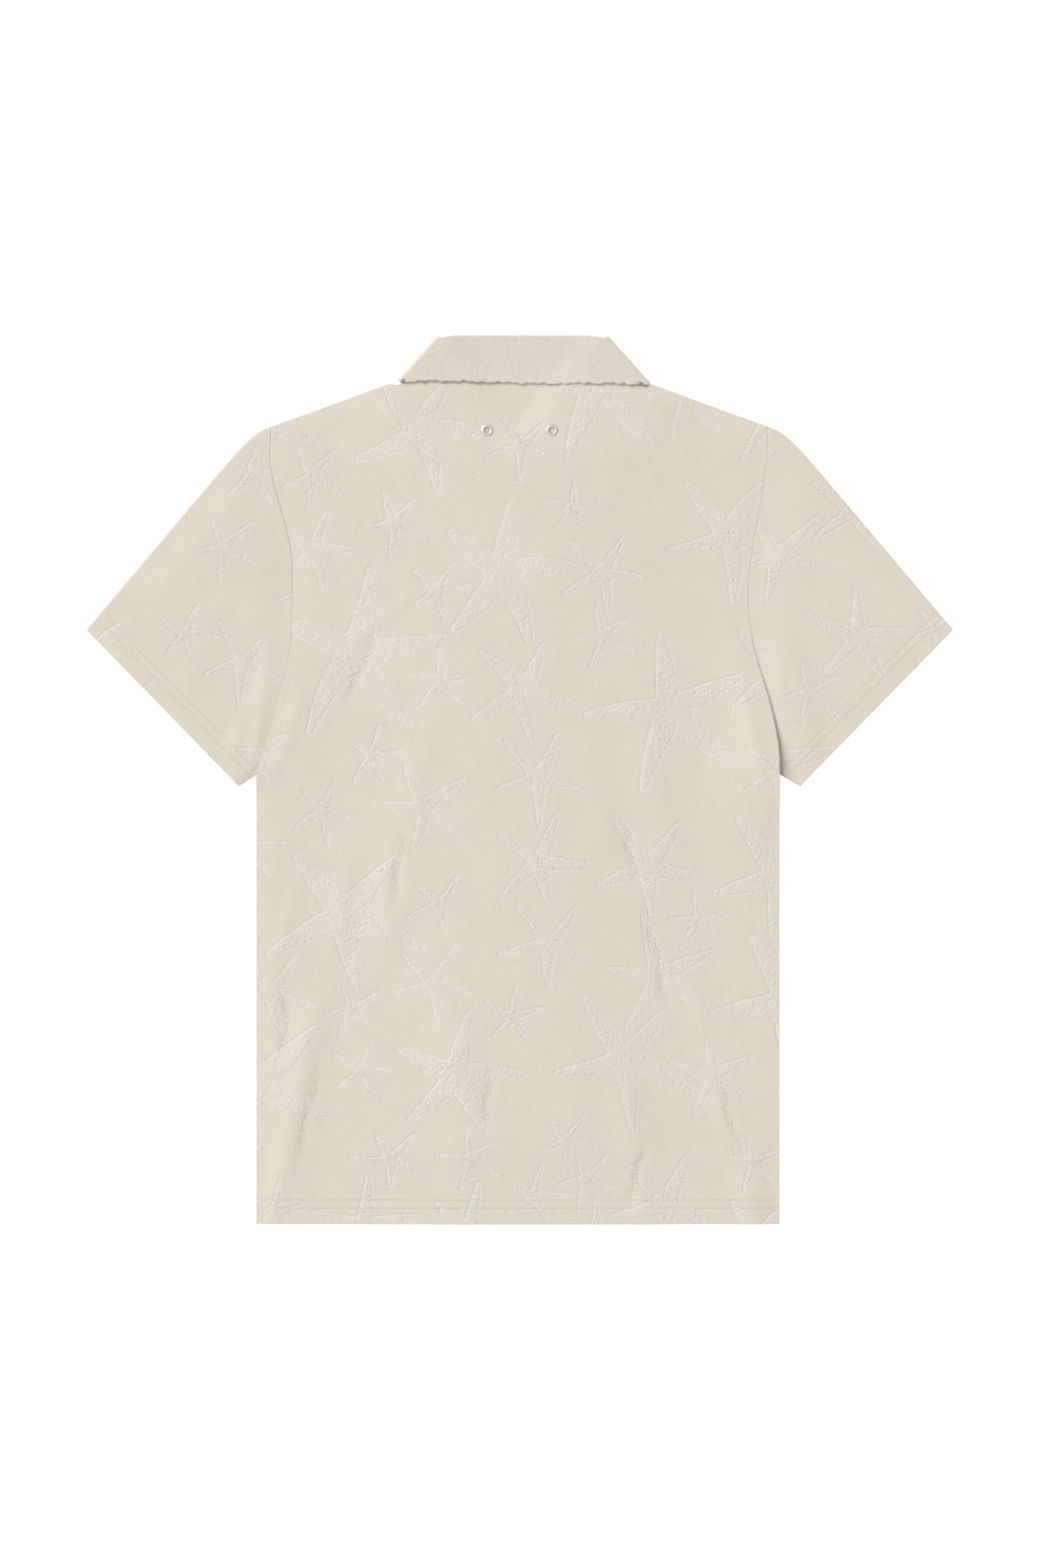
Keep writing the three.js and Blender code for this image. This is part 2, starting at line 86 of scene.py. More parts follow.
# Collar.
COLLAR_TOP = np.array([74.4, 790.5])
LEAF_CORNER = np.array([111.6, 749.6])
LEAF_POINT = np.array([58.0, 650.0])
LEAF_BACK_Y = 748.0
FRONT_FOLD_Y = 704.0
COLLAR_END_X = 0.8
RING_DEPTH = 2 * LAYER - SEAM_GAP / 2
LEAF_CURL = 0.6
LEAF_LENGTH, LEAF_ROUND = 43, 0.9
LEAF_BELLY = 1.0
TUFT_REACH, TUFT_SWAY = 2.4, 0.8
# How the collar lies askew, each as a pair: at its fold and at its leaf.
COLLAR_STRETCH, COLLAR_SHIFT = (1.014, 1.008), (2.6, 3.8)
COLLAR_TILT, COLLAR_CORNERS = (0.002, 0.013), (0.3, 0)
NECK_SAG = 2.0

# Stitched lines: the two rows above a hem or cuff edge, and the half-moon below the back neck.
HEM_ROWS = (14.5, 21.7)
HEM_REACH, MOON_REACH = 230, 118
MOON_LOW_Y, MOON_HALF, MOON_RISE, MOON_POWER = 657.0, 132.0, 78.0, 2.3

# Eyelets and buttons.
EYELET_X, EYELET_Y = 28.7, 705.6
EYELET_RADIUS, EYELET_HOLE, BARREL_RADIUS = 5.3, 2.3, 2.7
EYELET_SINK = 0.1
CROWN_BASE, CROWN_RISE = 0.35, 1.15
FLANGE, FLANGE_RADIUS = 0.5, 4.5
BUTTON_RADIUS, BUTTON_THICK = 5.75, 2.0
BUTTON_YS = np.linspace(662.0, 112.0, 6)
HOLE_APART, HOLE_RADIUS = 1.25, 0.75
BUTTONHOLE_LENGTH, BUTTONHOLE_HALF_WIDTH = 15.0, 1.1
THREAD_RADIUS = 0.35
# Length, gap and radius of a stitch: of the sewing, and of the satin stitch round a buttonhole.
SEWN_STITCH, SATIN_STITCH = (2.9, 0.8, 0.28), (0.9, 0.03, 0.42)

# Where forms fade in and out: a pair for ease, or four values for window. The collar's leaf, the buttons
# and the lap lift what lies over them, and the lift fades beyond each of them.
COLLAR_DIP_RUN = (NECK_X, 100, 106, 119)
LEAF_FADE = (14, 64)
SEAT_FADE, SEAT_ROWS = (9, 60), (30, 90, 672, 704)
LAP_FADE, LAP_TOP = (16, 60), (676, 702)
CENTRE_FADE, CENTRE_TOP, CENTRE_HEM = (18, 190), (676, 722), (20, 80)
UNDERARM_FADE = (4, 78)
LEFT_LIP_ROWS = (ARMPIT_Y - 30, ARMPIT_Y, 500, 560)
RIGHT_LIP_ROWS = (ARMPIT_Y - 85, ARMPIT_Y + 5, ARMPIT_Y - 5, 548)
LEFT_SEAM_ROWS, RIGHT_SEAM_ROWS = (545, 575, 650, 680), (505, 545)
TUCK_ROWS = (ARMPIT_Y, ARMPIT_Y + 25, 470, 515)
RECESS_ROWS = (ARMPIT_Y - 15, 505)
RIDGE_PLACE, RIDGE_ROWS = (10, 30, 34, 80), (440, 525)
PUFF_PLACE, PUFF_RUN = (0, 0.16, 0.86, 1), (0, 0.28)
# Folds keep clear of the panel's edges and of the hem.
EDGE_CALM, HEM_CALM, CUFF_CALM = (2, 24), (-4, 26), (3, 20)

# Large soft folds of the back, as in the solids: each a ridge from a top point to a low point, with the
# columns x0, y0, x1, y1, rise and half width.
FOLDS = (
    (-75, 452, -124, 236, 1.6, 17),
    (-60, 190, -46, -20, 1.9, 20),
    (42, 214, 50, 96, 1.2, 16),
    (90, 140, 116, -20, 1.7, 15),
    (-176, 212, -214, 24, 1.9, 16),
    (172, 150, 214, -10, 1.5, 15),
    (104, 488, 131, 300, 1.4, 18),
)
# Small creases between them, with the same columns. Those with a negative rise are puckered troughs.
CREASES = (
    (-104, 352, -111, 280, -0.7, 5),
    (96, 356, 103, 300, -0.6, 5),
    (113, 272, 131, 196, -0.7, 5),
    (-178, 146, -197, 52, -0.7, 5),
    (112, 70, 97, 18, -0.8, 4),
    (-206, 208, -211, 146, -0.5, 4),
    (-27, 146, -29, 84, -0.6, 5),
    (180, 130, 197, 52, -0.6, 5),
    (-194, 310, -215, 240, 0.6, 7),
    (-128, 526, -153, 462, -0.5, 5),
    (-92, 560, -150, 520, 0.5, 8),
    (150, 250, 166, 150, 0.6, 10),
    (-20, 320, 10, 200, 0.6, 14),
    (60, 420, 82, 330, 0.6, 12),
    (-150, 330, -168, 236, 0.7, 10),
    (20, 600, 34, 470, 0.5, 16),
    (-196, 470, -222, 400, 0.8, 9),
    (198, 470, 218, 400, 0.7, 9),
)
SLEEVE_FOLDS = {
    -1: ((-232, 520, -246, 420, -0.7, 8), (-262, 560, -300, 470, 0.7, 14), (-236, 470, -262, 402, 0.7, 7)),
    1: ((236, 540, 262, 420, 0.8, 10), (280, 600, 330, 520, 0.5, 16), (250, 480, 300, 450, 0.6, 10)),
}
PUCKER_SWAY = 3.0

# Low relief of the cloth: ripples as height and length, the star's rise with where it starts and ends
# from the outline, the hem's band, and the depth and width of stitched lines.
BACK_RIPPLE, SLEEVE_RIPPLE = (0.25, 70), (0.3, 80)
STAR_RISE, STAR_EDGE, STAR_STRETCH = 0.13, (-3.5, 0.6), (0.7, 1.6)
BAND_RISE = 0.15
HEM_GROOVE, FRONT_GROOVE, MOON_GROOVE = (0.1, 1.0), (0.15, 1.2), (0.08, 1.6)
# Loops of the collar's terry, the fine ones and the broad ones, as height and length.
COLLAR_LOOPS = ((0.16, 5.2), (0.1, 15))
SIDE_NAMES = {-1: "left", 1: "right"}


def ease(low, high, value):
    """A smooth step: 0 at low, 1 at high, with the cubic 3t^2 - 2t^3 between."""
    t = np.clip((value - low) / (high - low), 0.0, 1.0)
    return t * t * (3 - 2 * t)


def window(value, low, high, fall, end):
    """A smooth hump: it rises from low to high and falls from fall to end."""
    return ease(low, high, value) * (1 - ease(fall, end, value))


def bell(away, width):
    """A bell curve: exp(-(away / width)^2)."""
    return np.exp(-((away / width) ** 2))


def stacked(*parts):
    """Arrays of one shape as the coordinates of points, on a new last axis."""
    return np.stack(parts, axis=-1)


def lerp(a, b, t):
    """The value between a at t = 0 and b at t = 1."""
    return a + (b - a) * t


def soft_max(a, b):
    """The larger of two lifts, rounded where they are alike: the sixth root of their sixth powers' sum."""
    return (a**6 + b**6) ** (1 / 6)


def armhole_line(side):
    """Heights and half widths along an armhole: the table's rows, evened out by a running mean."""
    heights = np.arange(ARMPIT_Y - 40, SHOULDER_Y + 30)
    rows = np.array(ARMHOLES[side])
    widths = np.interp(heights, rows[:, 0], rows[:, 1])
    weights = np.hanning(19) / np.hanning(19).sum()
    return heights, np.convolve(np.pad(widths, 9, mode="edge"), weights, "valid")


ARMHOLE_LINES = {side: armhole_line(side) for side in (-1, 1)}


def half_width(y, side):
    """Half the body's width at a height, on the side that the sign tells."""
    left, right = (np.interp(y, *ARMHOLE_LINES[which]) for which in (-1, 1))
    return np.where(side > 0, right, left)


def armhole_point(t, side):
    """The armhole seam from the armpit at t = 0 to the shoulder tip at t = 1."""
    y = lerp(ARMPIT_Y, SHOULDER_Y, t)
    return stacked(half_width(y, side), y)


def top_edge(x, neck_centre_y):
    """A neckline parabola inside the neck point, and outside it the shoulder line with its dip."""
    away = np.abs(x)
    neckline = lerp(neck_centre_y, NECK_Y, (away / NECK_X) ** 2)
    dip = COLLAR_DIP * window(away, *COLLAR_DIP_RUN)
    shoulder = lerp(NECK_Y, SHOULDER_Y, (away - NECK_X) / (SHOULDER_X - NECK_X)) - dip
    return np.where(away <= NECK_X, neckline, shoulder)


def collar_distance(x, y):
    """Signed distance to the collar's plan outline, negative inside: the nearest edge, with an even-odd
    crossing count for the sign."""
    outline = np.array([[0, FRONT_FOLD_Y], LEAF_POINT, LEAF_CORNER, COLLAR_TOP, [0, COLLAR_TOP[1]]])
    px = np.abs(x)
    nearest = np.full(np.shape(px), np.inf)
    inside = np.zeros(np.shape(px), bool)
    for a, b in zip(outline, np.roll(outline, -1, axis=0)):
        ex, ey = b - a
        t = np.clip(((px - a[0]) * ex + (y - a[1]) * ey) / (ex * ex + ey * ey), 0, 1)
        nearest = np.minimum(nearest, np.hypot(px - a[0] - ex * t, y - a[1] - ey * t))
        if ey:
            crosses = ((a[1] > y) != (b[1] > y)) & (px < a[0] + (y - a[1]) / ey * ex)
            inside ^= crosses
    return np.where(inside, -nearest, nearest)


def collar_lift(x, y):
    """How far the collar's leaf lifts what lies on it: one layer, eased away beyond its outline."""
    return LAYER * (1 - ease(*LEAF_FADE, collar_distance(x, y)))


def front_height(x, y, side):
    """Underside of a front: lifted by the collar's leaf, by the buttons and, on the right, by the lap."""
    buttons = BUTTON_SEAT * (1 - ease(*SEAT_FADE, np.abs(x))) * window(y, *SEAT_ROWS)
    lap = LAYER * (1 - ease(*LAP_FADE, x)) * (1 - ease(*LAP_TOP, y))
    return soft_max(collar_lift(x, y), buttons) + (lap if side > 0 else 0)


def neck_sag(x, y):
    """How far the back sinks into the open neck, where nothing lies below it."""
    rise = np.clip((y - FRONT_FOLD_Y) / (COLLAR_TOP[1] - FRONT_FOLD_Y), 0, None)
    return NECK_SAG * ease(0, 35, COLLAR_TOP[0] * np.sqrt(rise) - np.abs(x))


def fold_place(x0, y0, x1, y1, x, y):
    """Where a point lies by a fold's line: its share of the way along it, and its distance across."""
    length = math.hypot(x1 - x0, y1 - y0)
    dx, dy = (x1 - x0) / length, (y1 - y0) / length
    return ((x - x0) * dx + (y - y0) * dy) / length, (x - x0) * dy - (y - y0) * dx


def fold_sum(folds, x, y):
    """The sum of soft ridges: each a bell across its line that fades at both ends."""
    total = np.zeros(np.broadcast(x, y).shape)
    for *line, rise, half in folds:
        along, across = fold_place(*line, x, y)
        ends = window(along, -0.15, 0.25, 0.8, 1.15)
        total += rise * ends * bell(across, half)
    return total


def pucker_field(x, y):
    """Where the troughs pucker: signed distance to the nearest trough's swaying middle line, and a
    strength that fades at its ends and beside it."""
    across = np.zeros(np.broadcast(x, y).shape)
    strength = np.zeros(across.shape)
    for number, (*line, rise, _) in enumerate(CREASES):
        if rise > 0:
            continue
        along, away = fold_place(*line, x, y)
        away = away + PUCKER_SWAY * np.sin(8 * along + 2 * number)
        near = window(along, 0, 0.2, 0.75, 1) * (1 - ease(5, 8, np.abs(away)))
        across = np.where(near > strength, away, across)
        strength = np.maximum(strength, near)
    return stacked(across, strength, 0 * across)


def ripples(x, y, wave, seed):
    """Gentle unevenness between -1 and 1: six crossing sine waves about one length, in fixed random
    directions."""
    rng = np.random.default_rng(seed)
    total = np.zeros(np.broadcast(x, y).shape)
    for turn, stretch, phase in rng.uniform((0, 0.7, 0), (math.pi, 1.5, 2 * math.pi), (6, 3)):
        line = x * math.cos(turn) + y * math.sin(turn)
        total += np.sin(2 * math.pi * line / (wave * stretch) + phase)
    return total / 6


def edge_rise(y, side):
    """How far the back's edge rises along the lower armhole: a little on the left, and on the right to a
    lip that is highest at the armpit and dies away halfway up."""
    left = LEFT_RISE * window(y, *LEFT_LIP_ROWS)
    right = RIGHT_RISE * window(y, *RIGHT_LIP_ROWS)
    return np.where(side > 0, right, left)


def back_height(x, y):
    """Underside of the back, over everything that lies below it."""
    away = np.abs(x)
    edge = np.minimum(half_width(y, x) - away, top_edge(x, BACK_NECK_Y) - y)
    air = lerp(SEAM_GAP, AIR_GAP, ease(0, AIR_REACH, edge))
    centre = (1 - ease(*CENTRE_FADE, away)) * (1 - ease(*CENTRE_TOP, y))
    lift = soft_max(collar_lift(x, y), BUTTON_SEAT * centre * ease(*CENTRE_HEM, y)) + LAYER * centre
    underarm = edge_rise(y, x) * (1 - ease(*UNDERARM_FADE, edge))
    calm = ease(*EDGE_CALM, edge) * (1 - 0.6 * centre)
    return CLOTH + air + lift + underarm + fold_sum(FOLDS, x, y) * calm - neck_sag(x, y)


def moon_height(x):
    """The half-moon seam: y = low + rise (|x| / half)^power."""
    return MOON_LOW_Y + MOON_RISE * (np.abs(x) / MOON_HALF) ** MOON_POWER


def moon_distance(x, y):
    """Signed distance to the half-moon seam: the difference in height over the slope's length."""
    slope = MOON_RISE * MOON_POWER / MOON_HALF * (np.abs(x) / MOON_HALF) ** (MOON_POWER - 1)
    return (y - moon_height(x)) / np.sqrt(1 + slope * slope)


def rolled(edge, radius):
    """Drop of a rounded edge: a quarter circle of the given radius, from the edge inwards."""
    inside = np.clip(radius - edge, 0, radius)
    return radius - np.sqrt(np.maximum(radius * radius - inside * inside, 0))


def spaced(*stretches):
    """Places from 0 on: each stretch gives its end and its pitch, and has a multiple of WEAVE_STEP
    steps."""
    places = [np.zeros(1)]
    start = 0.0
    for end, pitch in stretches:
        steps = WEAVE_STEP * max(1, round((end - start) / pitch / WEAVE_STEP))
        places.append(np.linspace(start, end, steps + 1)[1:])
        start = end
    return np.concatenate(places)


# The inner skin of a wall keeps every fourth row and column of the outer one.
WEAVE_STEP = 4
COARSE = (slice(None, None, WEAVE_STEP), slice(None, None, WEAVE_STEP))
EDGE_ROUND = 0.5
HIDDEN_ROUND = 0.12


def seam_round(y, side):
    """Radius that the cloth's edge is rounded to at an armhole. The seam shows as a thin line halfway up
    on the left and low down on the right, and elsewhere its two sides are flush."""
    left = window(y, *LEFT_SEAM_ROWS)
    right = 1 - ease(*RIGHT_SEAM_ROWS, y)
    shown = np.where(side > 0, right, left)
    return lerp(HIDDEN_ROUND, EDGE_ROUND, np.where((y < ARMPIT_Y) | (y > SHOULDER_Y), 1.0, shown))


# Stars: five tapered, slightly bent arms with rounded tips, in a scattered layout.
STAR_SIZES = ((70, 40), (47, 220), (31, 700))
STAR_CLEARANCE = 2.6
ARM_ROOT, ARM_TIP = 0.160, 0.050
BODY_PLOT = ((-240, -30), (240, 770))
SLEEVE_PLOT = ((-420, -330), (420, 330))
FAR = 50.0


def arm_width(t, radius):
    """Half an arm's width, from the middle at t = 0 to the tip. Small stars have slimmer arms."""
    return radius * lerp(ARM_ROOT, ARM_TIP, t**1.7) * lerp(0.78, 1.0, ease(28, 70, radius))


def star_arms(star):
    """Angle, length and bend of each arm of a star, a little uneven in a way that its key fixes."""
    _, _, radius, turn, bend, key = star
    swing, stretch, curl = np.random.default_rng(int(key)).uniform(-1, 1, (3, 5))
    angles = turn + 2 * math.pi * np.arange(5) / 5 + 0.12 * swing
    return angles, radius * (0.92 + 0.11 * stretch), bend + 0.13 * curl


def star_spine(star):
    """Points down the middle of every arm, each with the arm's half width there."""
    angles, reach, curl = (part[:, None] for part in star_arms(star))
    t = np.linspace(0, 1, 7)[None, :]
    along, across = t * reach, curl * t * t * reach
    x = star[0] + along * np.cos(angles) - across * np.sin(angles)
    y = star[1] + along * np.sin(angles) + across * np.cos(angles)
    return stacked(x, y, arm_width(t, star[2]) + 0 * x).reshape(-1, 3)


def star_layout(low, high, seed):
    """Scatters stars over a rectangle: large ones first, then smaller ones in the room that is left
    between their arms. Each row holds centre x and y, radius, turn, bend and key."""
    rng = np.random.default_rng(seed)
    stars, taken = [], np.full((1, 3), 1e6)
    for radius, tries in STAR_SIZES:
        for x, y, size, turn, bend in rng.uniform(
            (low[0], low[1], 0.86, 0, -0.2), (high[0], high[1], 1.14, 2 * math.pi, 0.2), (tries, 5)
        ):
            star = (x, y, radius * size, turn, bend, 101 * seed + len(stars))
            spine = star_spine(star)
            apart = np.hypot(spine[:, None, 0] - taken[:, 0], spine[:, None, 1] - taken[:, 1])
            if np.all(apart > spine[:, None, 2] + taken[:, 2] + STAR_CLEARANCE):
                stars.append(star)
                taken = np.concatenate([taken, spine])
    return stars


def star_field(x, y, stars):
    """Distance in millimetres to the nearest star's outline, negative inside, and the place in that
    star's own coordinates. Each arm is a bent, tapered capsule, and a smooth minimum joins the five."""
    shape = np.shape(x)
    x, y = np.ravel(x), np.ravel(y)
    edge = np.full(x.size, FAR)
    place = np.zeros((x.size, 3))
    for number, star in enumerate(stars):
        centre_x, centre_y, radius = star[:3]
        near = np.flatnonzero(np.hypot(x - centre_x, y - centre_y) < 1.25 * radius)
        dx, dy = x[near] - centre_x, y[near] - centre_y
        blend = np.zeros(near.size)
        soft = 0.02 * radius
        for angle, reach, curl in zip(*star_arms(star)):
            u = dx * math.cos(angle) + dy * math.sin(angle)
            v = dy * math.cos(angle) - dx * math.sin(angle)
            t = np.clip(u / reach, 0, 1)
            width = arm_width(t, radius)
            blend += np.exp(-(np.hypot(u - t * reach, v - curl * t * t * reach) - width) / soft)
        distance = -soft * np.log(blend + 1e-30)
        closer = distance < edge[near]
        edge[near[closer]] = distance[closer]
        place[near[closer]] = stacked(dx, dy, 0 * dx)[closer] / radius + (9.0 * number, 0, 0)
    return edge.reshape(shape), place.reshape(*shape, 3)


def put_mesh(name, points, faces):
    """A mesh object from garment millimetres. Its faces are turned round where the volume they hold
    comes out negative."""
    points = np.asarray(points, float).reshape(-1, 3)
    mesh = bpy.data.meshes.new(name)
    mesh.from_pydata(((points - (0, MIDDLE_Y, 0)) * MM).tolist(), [], faces)
    mesh.update()
    mesh.calc_loop_triangles()
    corners = np.zeros(3 * len(mesh.loop_triangles), np.int32)
    mesh.loop_triangles.foreach_get("vertices", corners)
    a, b, c = points[corners.reshape(-1, 3)].transpose(1, 0, 2) - points.mean(axis=0)
    if np.einsum("ij,ij->", a, np.cross(b, c)) < 0:
        mesh.flip_normals()
    mesh.polygons.foreach_set("use_smooth", np.ones(len(mesh.polygons), bool))
    piece = bpy.data.objects.new(name, mesh)
    bpy.context.scene.collection.objects.link(piece)
    return piece


def quads(grid):
    """Four-sided faces over a grid of point numbers, or over a stack of such grids."""
    corners = (grid[..., :-1, :-1], grid[..., :-1, 1:], grid[..., 1:, 1:], grid[..., 1:, :-1])
    return stacked(*corners).reshape(-1, 4)


def ringed(grid):
    """A grid of point numbers whose rows close on themselves."""
    return np.concatenate([grid, grid[..., :1]], axis=-1)


def cloth_wall(name, outer, inner, around=False):
    """A closed wall of cloth between a fine outer grid and an inner one with every fourth row and
    column. Four-sided faces cover both, and five triangles join each four fine rim edges to one coarse
    one. Where around is true, each row closes on itself."""
    fine = np.arange(outer.shape[0] * outer.shape[1]).reshape(outer.shape[:2])
    few = fine.size + np.arange(inner.shape[0] * inner.shape[1]).reshape(inner.shape[:2])
    if around:
        fine, few = ringed(fine), ringed(few)

    def rim(fine_edge, few_edge):
        starts = WEAVE_STEP * np.arange(few_edge.size - 1)[:, None]
        a, b, c, d, e = fine_edge[starts + np.arange(WEAVE_STEP + 1)].T
        near, far = few_edge[:-1], few_edge[1:]
        return stacked(b, a, near, c, b, near, c, near, far, d, c, far, e, d, far).reshape(-1, 3)

    faces = quads(fine).tolist() + quads(few)[:, ::-1].tolist()
    faces += rim(fine[0], few[0]).tolist() + rim(fine[-1], few[-1])[:, ::-1].tolist()
    if not around:
        faces += rim(fine[:, 0], few[:, 0])[:, ::-1].tolist() + rim(fine[:, -1], few[:, -1]).tolist()
    return put_mesh(name, np.concatenate([outer.reshape(-1, 3), inner.reshape(-1, 3)]), faces)


PATTERN_NAMES = (
    "star_edge", "hem_depth", "moon_line", "recess", "star_place", "cloth_place", "pucker_place"
)


def write_pattern(piece, outer_shape, **values):
    """Stores what the cloth's material reads, point by point: distances in millimetres or places. What is
    not given, and the inner skin, keep a distance of FAR and a place of 0."""
    count = len(piece.data.vertices)
    fine = outer_shape[0] * outer_shape[1]
    for name in PATTERN_NAMES:
        given = values.get(name)
        wide = name.endswith("_place")
        data = np.full((count, 3) if wide else count, 0.0 if wide else FAR, np.float32)
        if given is not None:
            data[:fine] = np.reshape(given, (fine, 3) if wide else fine)
        kind, field = ("FLOAT_VECTOR", "vector") if wide else ("FLOAT", "value")
        stored = piece.data.attributes.new(name, kind, "POINT")
        stored.data.foreach_set(field, data.ravel())


def hem_relief(depth):
    """A turned hem: double cloth up to its upper row of stitches, and a groove along each row."""
    band = BAND_RISE * (1 - ease(HEM_ROWS[1] - 2, HEM_ROWS[1] + 4, depth))
    return band - sum(HEM_GROOVE[0] * bell(depth - row, HEM_GROOVE[1]) for row in HEM_ROWS)


def star_relief(edge):
    """A star stands a little proud of the ground, softly from its outline inwards."""
    return STAR_RISE * (1 - ease(*STAR_EDGE, edge))


def back_points(shares, places):
    """Plan points of the back at shares of the shoulder height and places along the top edge."""
    share, place = np.meshgrid(shares, places, indexing="ij")
    x = place / SHOULDER_X * half_width(share * SHOULDER_Y, place)
    return x, share * top_edge(place, BACK_NECK_Y)


def make_back():
    """The back: a wall over the whole panel, with folds, creases, hem, half-moon and stars."""
    rows = spaced((1.6, 0.4), (26, 1.0), (749, 2.28), (753, 1.0)) / BACK_NECK_Y
    half = spaced((1.6, 0.4), (SHOULDER_X, 2.08))
    places = np.concatenate([half[:-1] - SHOULDER_X, SHOULDER_X - half[::-1]])
    x, y = back_points(rows, places)
    edge = np.minimum(half_width(y, x) - np.abs(x), top_edge(x, BACK_NECK_Y) - y)
    star, star_place = star_field(x, y, star_layout(*BODY_PLOT, 21))
    moon = moon_distance(x, y)
    calm = ease(*EDGE_CALM, edge) * ease(*HEM_CALM, y)
    rippled = BACK_RIPPLE[0] * ripples(x, y, BACK_RIPPLE[1], 4)
    top = back_height(x, y) + CLOTH + (fold_sum(CREASES, x, y) + rippled) * calm
    folded = np.clip(fold_sum(FOLDS, x, y) / 1.4, 0, 1)
    stretch = STAR_STRETCH[0] + STAR_STRETCH[1] * folded
    top += star_relief(star) * ease(0, 3, edge) * stretch + hem_relief(y)
    top -= MOON_GROOVE[0] * bell(moon, MOON_GROOVE[1])
    side_edge = half_width(y, x) - np.abs(x)
    plain_edge = np.minimum(y, top_edge(x, BACK_NECK_Y) - y)
    top -= np.maximum(rolled(side_edge, seam_round(y, x)), rolled(plain_edge, EDGE_ROUND))
    inner_x, inner_y = x[COARSE], y[COARSE]
    outer = stacked(x, y, top)
    inner = stacked(inner_x, inner_y, back_height(inner_x, inner_y))
    piece = cloth_wall("back_cloth", outer, inner)
    write_pattern(
        piece, x.shape, star_edge=star, star_place=star_place, hem_depth=y, moon_line=moon,
        cloth_place=stacked(x, y, 0 * x) * MM, pucker_place=pucker_field(x, y),
    )
    return piece


def front_points(shares, places, side):
    """Plan points of a front; places run from the button-stand edge to the shoulder tip."""
    share, place = np.meshgrid(shares, places, indexing="ij")
    reach = half_width(share * SHOULDER_Y, side)
    away = lerp(-BUTTON_STAND, reach, (place + BUTTON_STAND) / (SHOULDER_X + BUTTON_STAND))
    return away * side, share * top_edge(place, FRONT_NECK_Y), reach - away, away + BUTTON_STAND


def make_front(side):
    """A front: its outer skin faces the surface that the shirt lies on."""
    rows = spaced((1.6, 0.4), (26, 1.4), (670, 2.6), (674, 1.0)) / FRONT_NECK_Y
    reach = SHOULDER_X + BUTTON_STAND
    places = spaced((1.6, 0.4), (reach - 1.6, 2.5), (reach, 0.4)) - BUTTON_STAND
    x, y, seam, stand = front_points(rows, places, side)
    edge = np.minimum(np.minimum(seam, stand), np.minimum(y, top_edge(x, FRONT_NECK_Y) - y))
    star, star_place = star_field(x, y, star_layout(*BODY_PLOT, 35 + side))
    skin = front_height(x, y, side) + rolled(edge, 0.6)
    skin += sum(FRONT_GROOVE[0] * bell(y - row, FRONT_GROOVE[1]) for row in HEM_ROWS)
    inside = front_height(x[COARSE], y[COARSE], side) + CLOTH
    name = f"front_cloth_{SIDE_NAMES[side]}"
    piece = cloth_wall(name, stacked(x, y, skin), stacked(x[COARSE], y[COARSE], inside))
    cloth_place = stacked(x, y, 0 * x + 400 * side) * MM
    write_pattern(
        piece, x.shape, star_edge=star, star_place=star_place, hem_depth=y, cloth_place=cloth_place
    )
    return piece


def sleeve_point(u, v, side):
    """Plan point of a sleeve as on the right: u from the underarm to the shoulder, v from armhole to
    cuff. The shoulder bulges out by a rise that is steep at first and dies away towards the cuff."""
    root = armhole_point(u, side)
    way = lerp(CUFF_LOW, CUFF_TOP, u[..., None]) - root
    run = np.linalg.norm(way, axis=-1)
    seam = SLEEVE_GAP / run
    share = seam + (1 - seam) * v
    bulge = (SHOULDER_ROUND * u * u * (1 - v) * (1 - np.exp(-v / BULGE_RUN)) / run)[..., None]
    point = root + way * share[..., None] + stacked(-way[..., 1], way[..., 0]) * bulge
    return point, run


def seam_rise(u, from_seam, root_y, side):
    """How the sleeve's upper layer meets the body. On the left it climbs to the body's raised edge. On
    the right it stays low under the lip, and swells softly beyond the lip's shadow."""
    if side < 0:
        return edge_rise(root_y, side) * ease(0, 0.03, u) * (1 - ease(0, 60, from_seam))
    swell = window(from_seam, *RIDGE_PLACE)
    return RIDGE_RISE * swell * (1 - ease(*RIDGE_ROWS, root_y)) * ease(0, 0.08, u)


def recess_depth(from_seam, y, side):
    """Distance into the recess beside the right armhole, which widens towards the armpit. It is FAR where
    there is none, and 10 at the recess's far side. The cloth's material paints a brown shadow over the recess
    from it."""
    if side < 0:
        return np.full(np.shape(y), FAR)
    width = RECESS_WIDTH * (1 - ease(*RECESS_ROWS, y))
    return np.minimum(FAR, 10 * from_seam / np.maximum(width, 0.05))


